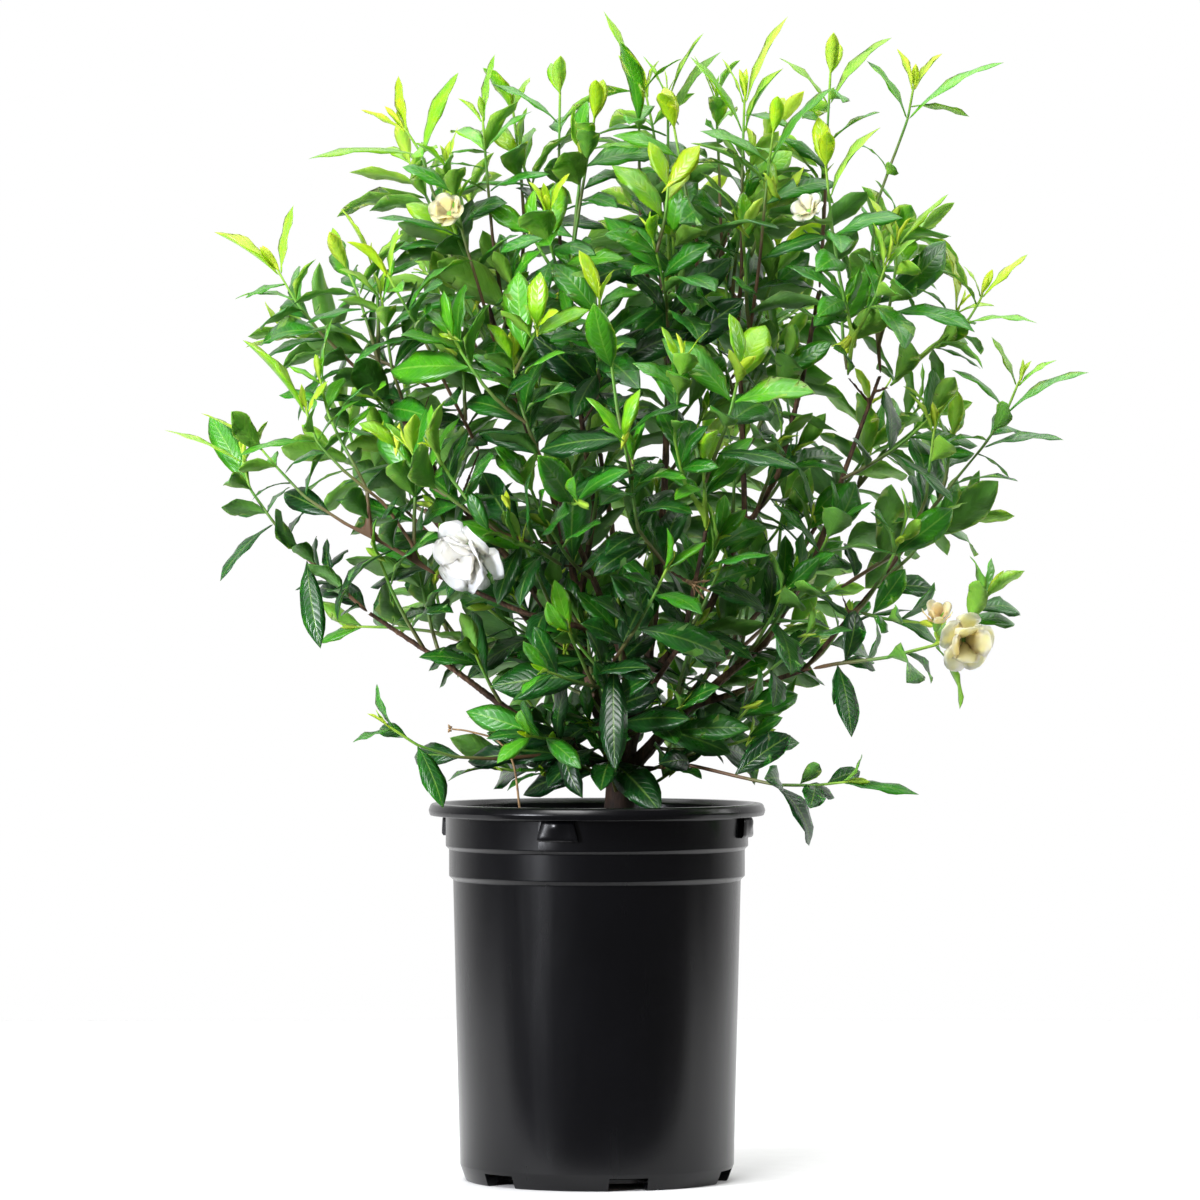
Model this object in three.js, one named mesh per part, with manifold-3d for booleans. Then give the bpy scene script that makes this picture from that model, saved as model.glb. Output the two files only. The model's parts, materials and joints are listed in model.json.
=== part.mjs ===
import * as THREE from "three";
import { mergeVertices } from "three/addons/utils/BufferGeometryUtils.js";
import Module from "manifold-3d";

// A gardenia bush in a black nursery can. Millimetres, +Z up, the origin on the surface
// that the can stands on, under its middle. The front of the bush looks along -Y.

const wasm = await Module();
wasm.setup();

const GAP = 0.3; // clearance between pieces that touch
const UP = new THREE.Vector3(0, 0, 1);

// The can
const POT_SIDES = 32;
const POT_HEIGHT = 296;
const LIP_RADIUS = 132.5;
const LIP_DEPTH = 9;
const COLLAR_RADIUS = 119;
const COLLAR_FOOT = 262;
const BAND_RADIUS = 116.4;
const BODY_TOP = 237;
const BODY_RADIUS = 113.2;
const BODY_FOOT = 12.5;
const BODY_FOOT_RADIUS = 107.7;
const FOOT_RADIUS = 103;
const FOOT_RING = 8; // width of the ring that it stands on
const HUB_RADIUS = 26;
const FLOOR_LIFT = 4;
const WALL = 2;
const FLOOR_TOP = 7;
const NOTCHES = 6;
const NOTCH = { width: 31, height: 10, depth: 14, radius: 104, start: 13.5 };
const LUGS = 4;
const LUG = { width: 30, height: 12, depth: 6, radius: 120.7, foot: 269, start: -14.5 };

// The potting mix
const SOIL_TOP = 268;
const SOIL_EDGE = 2; // how much lower it lies along the wall
const SOIL_RINGS = [84, 56, 30];
const ROOT_FOOT = 205; // how deep the trunk reaches
const TRUNK_RADIUS = 12;

// Leaves and stems
const STEM_SIDES = 4;
const STEM_RADIUS = { base: 2.3, tip: 1.4 };
const SLOT = 1.7; // half the height of the patch of stem that a leaf grows from
const BUD = 9;
const RIB = 1.4; // thickness of a blade along its rib
const PAIR_STEPS = [7, 23, 32, 38, 42]; // between pairs, from the tip of a shoot down
const LENGTHS = [38, 57, 68, 70, 66]; // of the leaves of each pair, from the tip down
const SPREADS = [0.5, 0.85, 1.05, 1.15, 1.2]; // angle off the stem
const LEAST_SPREAD = 0.4;
const BENDS = [0.45, 0.8, 1.0, 1.05, 1.1]; // how far a blade arches
const INWARD = [0.8, 0.35, 0.15, 0.15, 0.15]; // how much the upper faces turn to the stem
const OUTWARD = [0.15, 0.4, 0.6, 0.6, 0.6]; // and out of the crown
const OUTLINE_BENDS = [0.3, 0.6]; // of the leaves that reach for the outline
const OUTLINE_FOLD = 0.25; // angle of both halves of a blade over its rib
const DROOPS = [-0.05, 0.12, 0.3, 0.42, 0.5];
const KEPT = [1, 0.79, 0.4, 0.2, 0.1]; // the share of leaves that have not dropped
const BLADE = [
  { at: 0.36, wide: 0.8 },
  { at: 0.68, wide: 1.0 },
];
const LONG_BLADE = [
  { at: 0.26, wide: 0.62 },
  { at: 0.52, wide: 1.0 },
  { at: 0.78, wide: 0.8 },
];
const LONG_LEAF = 76;

// Room that is kept between leaves: sample points over each blade, and how near two may come
const SAMPLES_AT = [0.2, 0.34, 0.48, 0.62, 0.76, 0.9, 1.0];
const SAMPLES_WIDE = [0.4, 0.7, 0.95, 1.0, 0.85, 0.5, 0.0];
const LEAF_ROOM = 0.29; // of the blade's width
const STEM_ROOM = 1.6;
const ROOT_CLEAR = 10; // around a leaf's own root, where its stem and its pair are let be
const CELL = 18;
const POT_CLEAR = 6;
// Other ways to hold a leaf that has no room: turn about its stem, lift, and scale
const TRIES = [
  [0, 0, 1],
  [0.35, 0, 1],
  [-0.35, 0, 1],
  [0, 0.3, 1],
  [0, -0.3, 1],
  [0.6, 0.2, 0.92],
  [-0.6, 0.2, 0.92],
  [0.3, -0.35, 0.85],
  [-0.3, -0.35, 0.85],
  [0.8, -0.1, 0.75],
  [-0.8, -0.1, 0.75],
];

// Woody limbs: the points that each passes, and its radius at both ends
const TRUNK = {
  points: [[17, 0, ROOT_FOOT], [17, 0, 262], [18, 1, 300], [20, 0, 326]],
  radii: [TRUNK_RADIUS, 9.5],
};
const LIMBS = [
  {
    points: [
      [18, 0, 316], [-29, -14, 342], [-57, -24, 360],
      [-100, -36, 393], [-141, -45, 422], [-178, -50, 446],
    ],
    radii: [5, 3],
  },
  {
    points: [
      [24, -2, 318], [31, -22, 361], [24, -48, 404], [14, -62, 428],
      [2, -76, 460], [-9, -88, 487], [-33, -98, 542],
    ],
    radii: [6.5, 3],
  },
  { points: [[14, -62, 428], [-41, -72, 440], [-92, -78, 462], [-124, -80, 475]], radii: [4, 3] },
  { points: [[31, -22, 361], [54, -58, 400], [76, -96, 450], [84, -112, 510]], radii: [4.5, 3] },
  {
    points: [
      [15, 4, 318], [-6, 10, 396], [-45, 2, 460], [-92, -4, 511],
      [-124, -6, 550], [-155, -4, 588], [-166, -4, 619],
    ],
    radii: [6.5, 3],
  },
  {
    points: [
      [-6, 10, 396], [-14, 24, 450], [-28, 34, 520],
      [-58, 26, 597], [-74, 16, 644], [-86, 10, 690],
    ],
    radii: [5.5, 3],
  },
  { points: [[-14, 24, 450], [-2, 22, 520], [-14, 10, 610], [-26, 2, 680]], radii: [4.5, 3] },
  { points: [[23, 3, 318], [40, 16, 400], [52, 24, 520], [56, 16, 620], [58, 8, 700]], radii: [7, 3] },
  {
    points: [[39, 15, 392], [78, 4, 436], [112, 0, 487], [116, 6, 560], [112, 8, 640], [111, 4, 672]],
    radii: [5.5, 3],
  },
  {
    points: [[112, 0, 487], [132, -4, 534], [148, -6, 570], [164, -4, 640], [175, -2, 700]],
    radii: [4.2, 3],
  },
  {
    points: [
      [26, -3, 316], [73, -10, 373], [148, -18, 440], [187, -18, 534],
      [199, -18, 570], [215, -18, 597], [222, -18, 632],
    ],
    radii: [6.5, 3],
  },
  {
    points: [[70, -10, 369], [112, -12, 378], [160, -16, 399], [199, -16, 440], [226, -14, 475]],
    radii: [4.5, 3],
  },
  { points: [[20, 8, 318], [24, 52, 372], [18, 110, 470], [0, 140, 590]], radii: [6.5, 3] },
  { points: [[24, 50, 370], [-30, 86, 420], [-96, 112, 474], [-140, 130, 530]], radii: [5, 3] },
  { points: [[39, -5, 332], [90, 64, 400], [150, 105, 470], [190, 115, 540]], radii: [5, 3] },
];
const TRUNK_SIDES = 8;
const LIMB_SIDES = 4;
const LIMB_STEP = 80; // between the rings of a limb
const FINE_STEP = 5; // between the places that are looked at along a path
const TWIG_SIDES = 3;
// A shoot that starts this near the end of a limb goes on from it and needs no twig
const LIMB_END_REACH = 4;
const TWIG_RADIUS = 3;

// Leafy shoots: the points that each passes, and the tips of the leaves that stand out in the
// outline, each as [pair from the tip, x, y, z, width]. "on" names the shoot that it forks from.
const SHOOTS = [
  {
    name: "left_low",
    points: [[-178, -50, 446], [-210, -52, 474], [-245, -52, 508], [-272, -50, 546], [-276, -48, 570]],
    tips: [
      [0, -337, -46, 588, 13], [1, -304, -14, 600, 22],
      [2, -292, -74, 470, 18], [3, -214, -76, 418, 20],
    ],
  },
  {
    name: "left_mid",
    points: [
      [-124, -80, 475], [-147, -84, 490], [-202, -86, 519],
      [-230, -84, 539], [-242, -82, 552], [-267, -78, 581],
    ],
    tips: [[0, -306, -84, 600, 16]],
  },
  {
    on: "left_mid",
    points: [
      [-140, -83, 485], [-144, -88, 503], [-161, -94, 527],
      [-190, -98, 551], [-213, -98, 573], [-226, -95, 606],
    ],
    tips: [[0, -273, -100, 656, 24], [1, -276, -112, 566, 18]],
  },
  {
    on: "left_mid",
    points: [[-163, -94, 529], [-180, -90, 552], [-203, -84, 585], [-215, -82, 630]],
    tips: [[0, -204, -86, 674, 17]],
  },
  {
    name: "left_front",
    points: [
      [-50, -104, 500], [-76, -110, 508], [-100, -118, 525],
      [-124, -124, 542], [-145, -128, 574],
    ],
    tips: [],
  },
  {
    name: "left_high",
    points: [[-166, -4, 619], [-198, -10, 646], [-230, -14, 681], [-252, -16, 717]],
    tips: [[0, -300, -18, 744, 22], [0, -238, -12, 766, 18], [1, -219, -40, 722, 20]],
  },
  {
    name: "left_crown",
    points: [[-160, -24, 604], [-171, -28, 640], [-182, -34, 682], [-198, -38, 721]],
    tips: [],
  },
  {
    on: "left_crown",
    points: [[-172, -28, 643], [-172, -8, 690], [-177, 2, 725]],
    tips: [[0, -202, 2, 764, 15]],
  },
  {
    name: "left_crown_front",
    points: [[-146, -36, 596], [-158, -52, 629], [-165, -62, 676], [-168, -66, 695]],
    tips: [],
  },
  {
    name: "left_shoulder",
    points: [
      [-92, -36, 572], [-104, -56, 597], [-124, -70, 636],
      [-133, -76, 656], [-155, -84, 695], [-164, -86, 711],
    ],
    tips: [],
  },
  {
    name: "left_top_front",
    points: [[-60, 0, 604], [-76, -24, 644], [-92, -36, 699], [-104, -42, 739], [-117, -44, 798]],
    tips: [[2, -172, -52, 753, 19]],
  },
  {
    name: "left_top",
    points: [[-86, 10, 690], [-100, 8, 723], [-130, 4, 778], [-139, 0, 809], [-154, -2, 830]],
    tips: [[0, -156, -2, 868, 14], [1, -227, -8, 802, 20], [1, -109, 2, 871, 18]],
  },
  {
    name: "top_left",
    points: [[-70, 0, 668], [-80, -6, 723], [-86, -10, 786], [-90, -12, 838]],
    tips: [[0, -80, -14, 884, 16]],
  },
  {
    on: "top_left",
    points: [[-71, -1, 674], [-58, 20, 723], [-59, 26, 778], [-67, 24, 849]],
    tips: [],
  },
  {
    name: "top_mid",
    points: [[-26, 2, 680], [-29, 6, 730], [-30, 6, 790], [-29, 2, 861]],
    tips: [[1, -84, 0, 862, 18]],
  },
  {
    name: "top_mid_front",
    points: [[-16, -18, 664], [-22, -26, 700], [-15, -32, 754], [-1, -40, 837]],
    tips: [[1, 47, -46, 806, 19]],
  },
  {
    on: "top_mid_front",
    points: [[-21, -25, 696], [-34, -70, 720], [-38, -92, 758]],
    tips: [],
  },
  {
    name: "top_tall",
    points: [[46, -10, 686], [36, -14, 730], [33, -18, 809], [34, -22, 858]],
    tips: [[0, 5, -24, 917, 17], [1, 18, -76, 888, 19]],
  },
  {
    name: "top_right",
    points: [[58, 8, 700], [56, 6, 739], [56, 4, 809], [56, 6, 858]],
    tips: [[0, 84, 2, 902, 13], [1, 98, 10, 888, 17]],
  },
  {
    on: "top_right",
    points: [[58, 8, 712], [56, 30, 750], [46, 36, 820], [38, 38, 861]],
    tips: [],
  },
  {
    name: "top_right_front",
    points: [[76, -28, 690], [80, -42, 723], [69, -52, 774], [59, -58, 829]],
    tips: [],
  },
  {
    name: "middle_high",
    points: [[56, -24, 640], [54, -66, 690], [42, -98, 738]],
    tips: [],
  },
  {
    name: "middle",
    points: [[0, -32, 612], [2, -86, 640], [2, -120, 692]],
    tips: [],
  },
  {
    name: "right_top",
    points: [[111, 4, 672], [114, 0, 720], [114, -4, 780], [116, -10, 853]],
    tips: [[0, 150, -12, 914, 17], [1, 73, -14, 882, 16], [1, 146, -24, 872, 18]],
  },
  {
    on: "right_top",
    points: [[111, 4, 684], [100, 36, 723], [97, 46, 800], [94, 52, 861]],
    tips: [],
  },
  {
    name: "right_top_front",
    points: [[118, -18, 656], [126, -36, 710], [132, -48, 778], [138, -54, 825]],
    tips: [[1, 186, -58, 855, 20]],
  },
  {
    name: "right_tall",
    points: [[175, -2, 700], [179, 0, 760], [181, 0, 816], [184, 0, 876]],
    tips: [[1, 143, -2, 882, 18], [1, 232, -2, 898, 20], [2, 222, -18, 838, 19]],
  },
  {
    name: "right_inner",
    points: [[196, -32, 630], [199, -42, 668], [187, -54, 715], [177, -66, 798]],
    tips: [[1, 220, -72, 822, 18]],
  },
  {
    on: "right_inner",
    points: [[198, -40, 660], [214, -62, 685], [225, -74, 719]],
    tips: [],
  },
  {
    name: "right_high",
    points: [
      [222, -18, 632], [216, -10, 690], [216, -4, 730],
      [223, 0, 778], [242, 0, 825], [250, 0, 864],
    ],
    tips: [[0, 272, 2, 886, 14], [1, 212, -2, 880, 19], [1, 321, 4, 879, 20]],
  },
  {
    on: "right_high",
    points: [[220, -14, 655], [230, -36, 690], [235, -46, 739]],
    tips: [[0, 211, -50, 770, 15], [0, 274, -48, 772, 16]],
  },
  {
    name: "right_shoulder",
    points: [[228, -34, 622], [240, -34, 636], [262, -32, 654], [293, -30, 677], [303, -30, 699]],
    tips: [[0, 337, -30, 726, 18], [1, 344, -34, 672, 19]],
  },
  {
    on: "right_shoulder",
    points: [[250, -33, 645], [268, -18, 655], [286, -12, 688]],
    tips: [[0, 274, -14, 733, 26]],
  },
  {
    name: "right_low",
    points: [[226, -14, 475], [258, -16, 522], [293, -18, 564], [317, -20, 596], [332, -20, 630]],
    tips: [
      [0, 309, -22, 662, 18], [1, 386, -18, 634, 19],
      [2, 366, -18, 581, 20], [3, 328, -50, 548, 20],
    ],
  },
  {
    on: "right_low",
    points: [[246, -15, 505], [257, -38, 535], [259, -48, 558], [263, -52, 593]],
    tips: [],
  },
  {
    name: "right_bloom",
    points: [
      [168, -34, 402], [185, -54, 406], [211, -68, 408],
      [250, -76, 418], [278, -80, 428], [304, -84, 463],
    ],
    tips: [[4, 196, -106, 350, 19]],
  },
  {
    name: "right_thin",
    points: [[205, -34, 446], [230, -50, 440], [254, -60, 438]],
    tips: [],
  },
  {
    name: "right_bottom",
    points: [[46, -24, 324], [78, -50, 327], [112, -72, 318], [150, -92, 312], [197, -104, 316]],
    tips: [[0, 248, -108, 306, 17], [1, 163, -132, 296, 20]],
  },
  {
    name: "left_bottom",
    points: [
      [-6, -28, 330], [-29, -42, 335], [-60, -58, 334],
      [-92, -72, 332], [-131, -88, 340], [-163, -96, 360],
    ],
    tips: [[0, -188, -104, 346, 15], [1, -118, -118, 296, 20]],
  },
  {
    name: "front_left",
    points: [[-33, -98, 542], [-45, -106, 566], [-53, -110, 589], [-61, -112, 613], [-65, -116, 645]],
    tips: [],
  },
  {
    name: "bloom_stem",
    points: [[-26, -102, 482], [-45, -116, 493], [-66, -128, 500]],
    tips: [],
  },
  {
    name: "front_low",
    points: [[16, -78, 404], [14, -96, 412], [34, -116, 440], [56, -134, 485]],
    tips: [[3, 14, -132, 324, 23]],
  },
  {
    name: "front_mid",
    points: [[56, -112, 478], [30, -128, 514], [27, -140, 570]],
    tips: [],
  },
  {
    name: "front_right",
    points: [[84, -112, 510], [83, -124, 530], [81, -148, 566]],
    tips: [],
  },
  {
    on: "front_right",
    points: [[83, -118, 520], [60, -144, 566], [65, -160, 640]],
    tips: [],
  },
  {
    name: "low_front",
    points: [[4, -76, 388], [-14, -108, 392], [-40, -146, 402]],
    tips: [],
  },
  {
    name: "low_front_left",
    points: [[-18, -44, 348], [-36, -84, 348], [-53, -120, 352]],
    tips: [],
  },
];

// The far side, which follows a rule: shoots spread evenly over the back of a round crown
const CROWN = { x: 20, y: 20, z: 600, wide: 315, deep: 225, tall: 290 };
const BACK_SHOOTS = 15;
const BACK_REACH = 128; // length of a shoot that faces back
const BACK_FORK = 0.35; // where along it its fork starts
const BACK_FORKED = 3; // every third one has a fork
const FRONT_LIMBS = 4; // the limbs that stand at the front and carry none of them

// Blooms: where each stalk ends, the way the flower faces, its size and whorls of petals
const BLOOMS = [
  {
    name: "bloom_white",
    on: "bloom_stem",
    foot: [-88, -142, 504],
    face: [-0.6, -0.72, -0.35],
    radius: 30,
    color: 0xfbf8ee,
    whorls: [[6, 1.0, 0.8, 1.45, 0.5], [4, 0.8, 0.72, 0.9, -0.3], [2, 0.55, 0.5, 0.35, -0.6]],
  },
  {
    name: "bloom_cream",
    on: "right_bloom",
    foot: [283, -90, 420],
    face: [0.5, -0.8, -0.1],
    radius: 22,
    color: 0xf0dc9c,
    whorls: [[5, 1.0, 0.8, 1.2, 0.4], [2, 0.75, 0.6, 0.5, -0.3]],
  },
  {
    name: "bloom_withered",
    on: "right_bloom",
    foot: [262, -84, 432],
    face: [0.1, -0.5, 0.85],
    radius: 16,
    color: 0xd9a273,
    whorls: [[4, 1.0, 0.55, 0.55, -0.7]],
  },
  {
    name: "bloom_high_right",
    on: "right_inner",
    foot: [168, -68, 752],
    face: [-0.4, -0.7, 0.5],
    radius: 19,
    color: 0xf3e7bd,
    whorls: [[5, 1.0, 0.8, 0.9, 0.2]],
  },
  {
    name: "bloom_high_left",
    on: "left_top_front",
    foot: [-112, -56, 752],
    face: [-0.3, -0.8, 0.4],
    radius: 18,
    color: 0xeed98c,
    whorls: [[5, 1.0, 0.8, 0.9, 0.2]],
  },
];
const STALK_RADIUS = 1.9;
const TUBE_LENGTH = 8; // of a flower, between its stalk and its petals
const PETAL_RIB = 1.5;

const LEAF_COLORS = [0x2e5420, 0x37602a, 0x40702c, 0x4c7d30];

// Random draws that come out the same each time
function makeRandom(seed) {
  let state = seed;
  return (low, high) => {
    state = (state * 16807) % 2147483647;
    return low + ((high - low) * state) / 2147483647;
  };
}

const vec = (p) => new THREE.Vector3(p[0], p[1], p[2]);
const blend = (a, b, t) => a + (b - a) * t;

// The part of a vector that stands square to a direction, at length 1
function square(v, direction) {
  return v.clone().addScaledVector(direction, -v.dot(direction)).normalize();
}

// A smooth path through the points, with its length measured along it
function makePath(knots) {
  const last = knots.length - 1;
  const before = knots[0].clone().multiplyScalar(2).sub(knots[1]);
  const after = knots[last].clone().multiplyScalar(2).sub(knots[last - 1]);
  const all = [before, ...knots, after];
  const places = [knots[0].clone()];
  for (let i = 0; i < last; i++) {
    const [p, q, r, s] = all.slice(i, i + 4);
    const steps = Math.max(2, Math.ceil(q.distanceTo(r) / 6));
    for (let k = 1; k <= steps; k++) {
      const t = k / steps;
      const place = new THREE.Vector3();
      place.addScaledVector(p, 0.5 * (-t + 2 * t * t - t * t * t));
      place.addScaledVector(q, 0.5 * (2 - 5 * t * t + 3 * t * t * t));
      place.addScaledVector(r, 0.5 * (t + 4 * t * t - 3 * t * t * t));
      place.addScaledVector(s, 0.5 * (-t * t + t * t * t));
      places.push(place);
    }
  }
  return pathThrough(places);
}

// The place and the heading at a distance along a path
function alongPath(path, distance) {
  let i = 1;
  while (i < path.places.length - 1 && path.lengths[i] < distance) i++;
  const from = path.places[i - 1];
  const to = path.places[i];
  const t = (distance - path.lengths[i - 1]) / (path.lengths[i] - path.lengths[i - 1]);
  return { place: from.clone().lerp(to, t), heading: to.clone().sub(from).normalize() };
}

// The straight stretches between the given places, as a path
function pathThrough(places) {
  const lengths = [0];
  for (let i = 1; i < places.length; i++) {
    lengths.push(lengths[i - 1] + places[i].distanceTo(places[i - 1]));
  }
  return { places, lengths, length: lengths[places.length - 1] };
}

// The same path with even steps of about the given length
function resample(path, step) {
  const count = Math.max(1, Math.round(path.length / step));
  const places = [];
  for (let i = 0; i <= count; i++) places.push(alongPath(path, (i / count) * path.length).place);
  return pathThrough(places);
}

// The place on a path that is nearest to a point, and how far along it lies
function nearestOnPath(path, point) {
  const fine = resample(path, FINE_STEP);
  let best = 0;
  fine.places.forEach((place, i) => {
    if (place.distanceTo(point) < fine.places[best].distanceTo(point)) best = i;
  });
  const place = fine.places[best];
  return { place, distance: fine.lengths[best], gap: place.distanceTo(point) };
}

// Vertices and triangles of one closed body
function makeBody() {
  return { vertices: [], triangles: [] };
}

function addVertex(body, v) {
  body.vertices.push(v.x, v.y, v.z);
  return body.vertices.length / 3 - 1;
}

function vertexOf(body, index) {
  return new THREE.Vector3().fromArray(body.vertices, index * 3);
}

// A ring of vertices that runs anticlockwise about its heading
function addRing(body, place, heading, side, radius, sides, turn) {
  const across = heading.clone().cross(side);
  const ring = [];
  for (let j = 0; j < sides; j++) {
    const angle = ((j + turn) * 2 * Math.PI) / sides;
    const v = place.clone();
    v.addScaledVector(side, radius * Math.cos(angle));
    v.addScaledVector(across, radius * Math.sin(angle));
    ring.push(addVertex(body, v));
  }
  return ring;
}

function addWall(body, low, high, open = []) {
  low.forEach((a, j) => {
    if (open.includes(j)) return;
    const k = (j + 1) % low.length;
    body.triangles.push(a, low[k], high[k], a, high[k], high[j]);
  });
}

// The same ring, started at whichever vertex brings it nearest to the given places
function matched(body, ring, places) {
  const shifts = ring.map((_, o) => ring.map((_, k) => ring[(k + o) % ring.length]));
  const apart = (turned) => turned.map((v, k) => vertexOf(body, v).distanceTo(places[k]));
  const twist = (turned) => apart(turned).reduce((a, b) => a + b);
  return shifts.reduce((a, b) => (twist(a) <= twist(b) ? a : b));
}

function addStartCap(body, ring) {
  for (let j = 1; j < ring.length - 1; j++) body.triangles.push(ring[0], ring[j + 1], ring[j]);
}

function addEndCap(body, ring) {
  for (let j = 1; j < ring.length - 1; j++) body.triangles.push(ring[0], ring[j], ring[j + 1]);
}

function addPoint(body, ring, point) {
  const apex = addVertex(body, point);
  ring.forEach((a, j) => body.triangles.push(a, ring[(j + 1) % ring.length], apex));
}

// A tube with a ring at each place of a path
function addTube(body, path, radii, sides, endHeading = null) {
  const last = path.places.length - 1;
  let side = new THREE.Vector3(1, 0.2, 0.1);
  let previous = null;
  path.places.forEach((place, i) => {
    const heading = path.places[Math.min(i + 1, last)].clone().sub(path.places[Math.max(i - 1, 0)]);
    heading.normalize();
    if (i === last && endHeading) heading.copy(endHeading);
    side = square(side, heading);
    const radius = blend(radii[0], radii[1], path.lengths[i] / path.length);
    const ring = addRing(body, place, heading, side, radius, sides, 0);
    if (previous) addWall(body, previous, ring);
    else addStartCap(body, ring);
    previous = ring;
  });
  addEndCap(body, previous);
  return body;
}

// How a blade is held: its chord, the normal of its upper face, its arch and its fold
function makePose(foot, direction, normal, length, width, bend, fold) {
  return { foot, direction, normal: square(normal, direction), length, width, bend, fold };
}

function bladeFrame(pose, t) {
  const half = pose.bend / 2;
  const angle = pose.bend * (t - 0.5);
  const scale = pose.length / (2 * Math.sin(half));
  const ahead = scale * (Math.sin(angle) + Math.sin(half));
  const rise = scale * (Math.cos(angle) - Math.cos(half));
  const place = pose.foot.clone();
  place.addScaledVector(pose.direction, ahead).addScaledVector(pose.normal, rise);
  const heading = pose.direction.clone().multiplyScalar(Math.cos(angle));
  heading.addScaledVector(pose.normal, -Math.sin(angle));
  const normal = pose.normal.clone().multiplyScalar(Math.cos(angle));
  normal.addScaledVector(pose.direction, Math.sin(angle));
  return { place, heading, normal, side: normal.clone().cross(heading) };
}

// A section of a blade, anticlockwise about its heading: an edge, upper rib, edge, lower rib
function addSection(body, pose, t, wide, rib) {
  const { place, normal, side } = bladeFrame(pose, t);
  const half = (pose.width / 2) * wide;
  const edge = (sign) => {
    const at = place.clone().addScaledVector(side, sign * half * Math.cos(pose.fold));
    return at.addScaledVector(normal, half * Math.sin(pose.fold));
  };
  return [
    addVertex(body, edge(1)),
    addVertex(body, place.clone().addScaledVector(normal, rib / 2)),
    addVertex(body, edge(-1)),
    addVertex(body, place.clone().addScaledVector(normal, -rib / 2)),
  ];
}

// Both faces of a blade are split from its edge to its rib, so they never cross
function addBladeWall(body, low, high) {
  const [r, t, l, b] = low;
  const [R, T, L, B] = high;
  body.triangles.push(r, t, T, r, T, R, t, l, T, l, L, T);
  body.triangles.push(l, b, B, l, B, L, b, r, B, r, R, B);
}

// A leaf that grows from a four-sided patch of a stem
function addLeaf(body, patch, pose) {
  const stations = pose.length > LONG_LEAF ? LONG_BLADE : BLADE;
  const section = addSection(body, pose, stations[0].at, stations[0].wide, RIB);
  const corners = patch.map((v) => vertexOf(body, v));
  const middles = corners.map((corner, k) => corner.clone().lerp(corners[(k + 1) % STEM_SIDES], 0.5));
  let ring = matched(body, section, middles);
  for (let k = 0; k < STEM_SIDES; k++) {
    const next = (k + 1) % STEM_SIDES;
    body.triangles.push(patch[k], patch[next], ring[k], patch[next], ring[next], ring[k]);
  }
  ring = section;
  for (const station of stations.slice(1)) {
    const further = addSection(body, pose, station.at, station.wide, RIB);
    addBladeWall(body, ring, further);
    ring = further;
  }
  addPoint(body, ring, bladeFrame(pose, 1).place);
}

// The room that is taken: spheres, kept by the cell that their middle lies in
const taken = new Map();

const cellOf = (...at) => at.map((value) => Math.floor(value / CELL)).join(",");

function takeRoom(spheres) {
  for (const s of spheres) {
    const key = cellOf(s.at.x, s.at.y, s.at.z);
    if (!taken.has(key)) taken.set(key, []);
    taken.get(key).push(s);
  }
}

function isBlocked(spheres, root) {
  for (const s of spheres) {
    const { x, y, z } = s.at;
    if (z < POT_HEIGHT + POT_CLEAR && Math.hypot(x, y) < LIP_RADIUS + POT_CLEAR) return true;
    for (const dx of [-CELL, 0, CELL]) {
      for (const dy of [-CELL, 0, CELL]) {
        for (const dz of [-CELL, 0, CELL]) {
          for (const other of taken.get(cellOf(x + dx, y + dy, z + dz)) || []) {
            if (other.at.distanceTo(root) < ROOT_CLEAR) continue;
            if (other.at.distanceTo(s.at) < other.radius + s.radius) return true;
          }
        }
      }
    }
  }
  return false;
}

function pathSpheres(path, radiusAt) {
  const fine = resample(path, FINE_STEP);
  const radius = (i) => radiusAt(fine.lengths[i] / fine.length) + STEM_ROOM;
  return fine.places.map((at, i) => ({ at, radius: radius(i) }));
}

function leafSpheres(pose) {
  const spheres = [];
  SAMPLES_AT.forEach((t, i) => {
    const { place, normal, side } = bladeFrame(pose, t);
    const reach = 0.36 * pose.width * SAMPLES_WIDE[i];
    for (const sign of reach > 0 ? [-1, 0, 1] : [0]) {
      const at = place.clone().addScaledVector(side, sign * reach);
      at.addScaledVector(normal, Math.abs(sign) * reach * Math.tan(pose.fold));
      spheres.push({ at, radius: LEAF_ROOM * pose.width });
    }
  });
  return spheres;
}

// The places of a shoot's pairs, from its tip down
function pairDistances(length) {
  const distances = [];
  let at = length;
  for (const step of PAIR_STEPS) {
    at -= step;
    if (at < 12) break;
    distances.push(at);
  }
  return distances;
}

const stemRadius = (t) => blend(STEM_RADIUS.base, STEM_RADIUS.tip, t);

// The rings of a shoot's stem, and the four sides of each pair's stretch that leaves may grow from
function layOutShoot(shoot, bearer, random) {
  const knots = shoot.points.map(vec);
  if (bearer) knots[0].copy(nearestOnPath(bearer.spine, knots[0]).place);
  const path = makePath(knots);
  const pairs = pairDistances(path.length);
  const roll = random(0, Math.PI / 2);
  const start = alongPath(path, 0).heading;
  let side = square(new THREE.Vector3(0.3, 1, 0.2), start).applyAxisAngle(start, roll);
  const slots = [];
  for (let i = pairs.length - 1; i >= 0; i--) {
    const { place, heading } = alongPath(path, pairs[i]);
    side = square(side, heading).applyAxisAngle(heading, Math.PI / 2);
    const reach = shoot.tips.find(([pair]) => Math.min(pair, pairs.length - 1) === i);
    if (reach) side = square(vec(reach.slice(1, 4)).sub(place), heading);
    slots[i] = { place, heading, side: side.clone(), distance: pairs[i] };
  }
  const spine = pathThrough([path.places[0], ...slots.map((slot) => slot.place).reverse()]);
  return { ...shoot, path, spine, slots, leaves: [] };
}

// The two sides of a stem that a pair grows from, and the way out of each
const FACES = [3, 1];

function faceOut(slot, face) {
  return slot.side.clone().multiplyScalar(face === FACES[0] ? 1 : -1);
}

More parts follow.
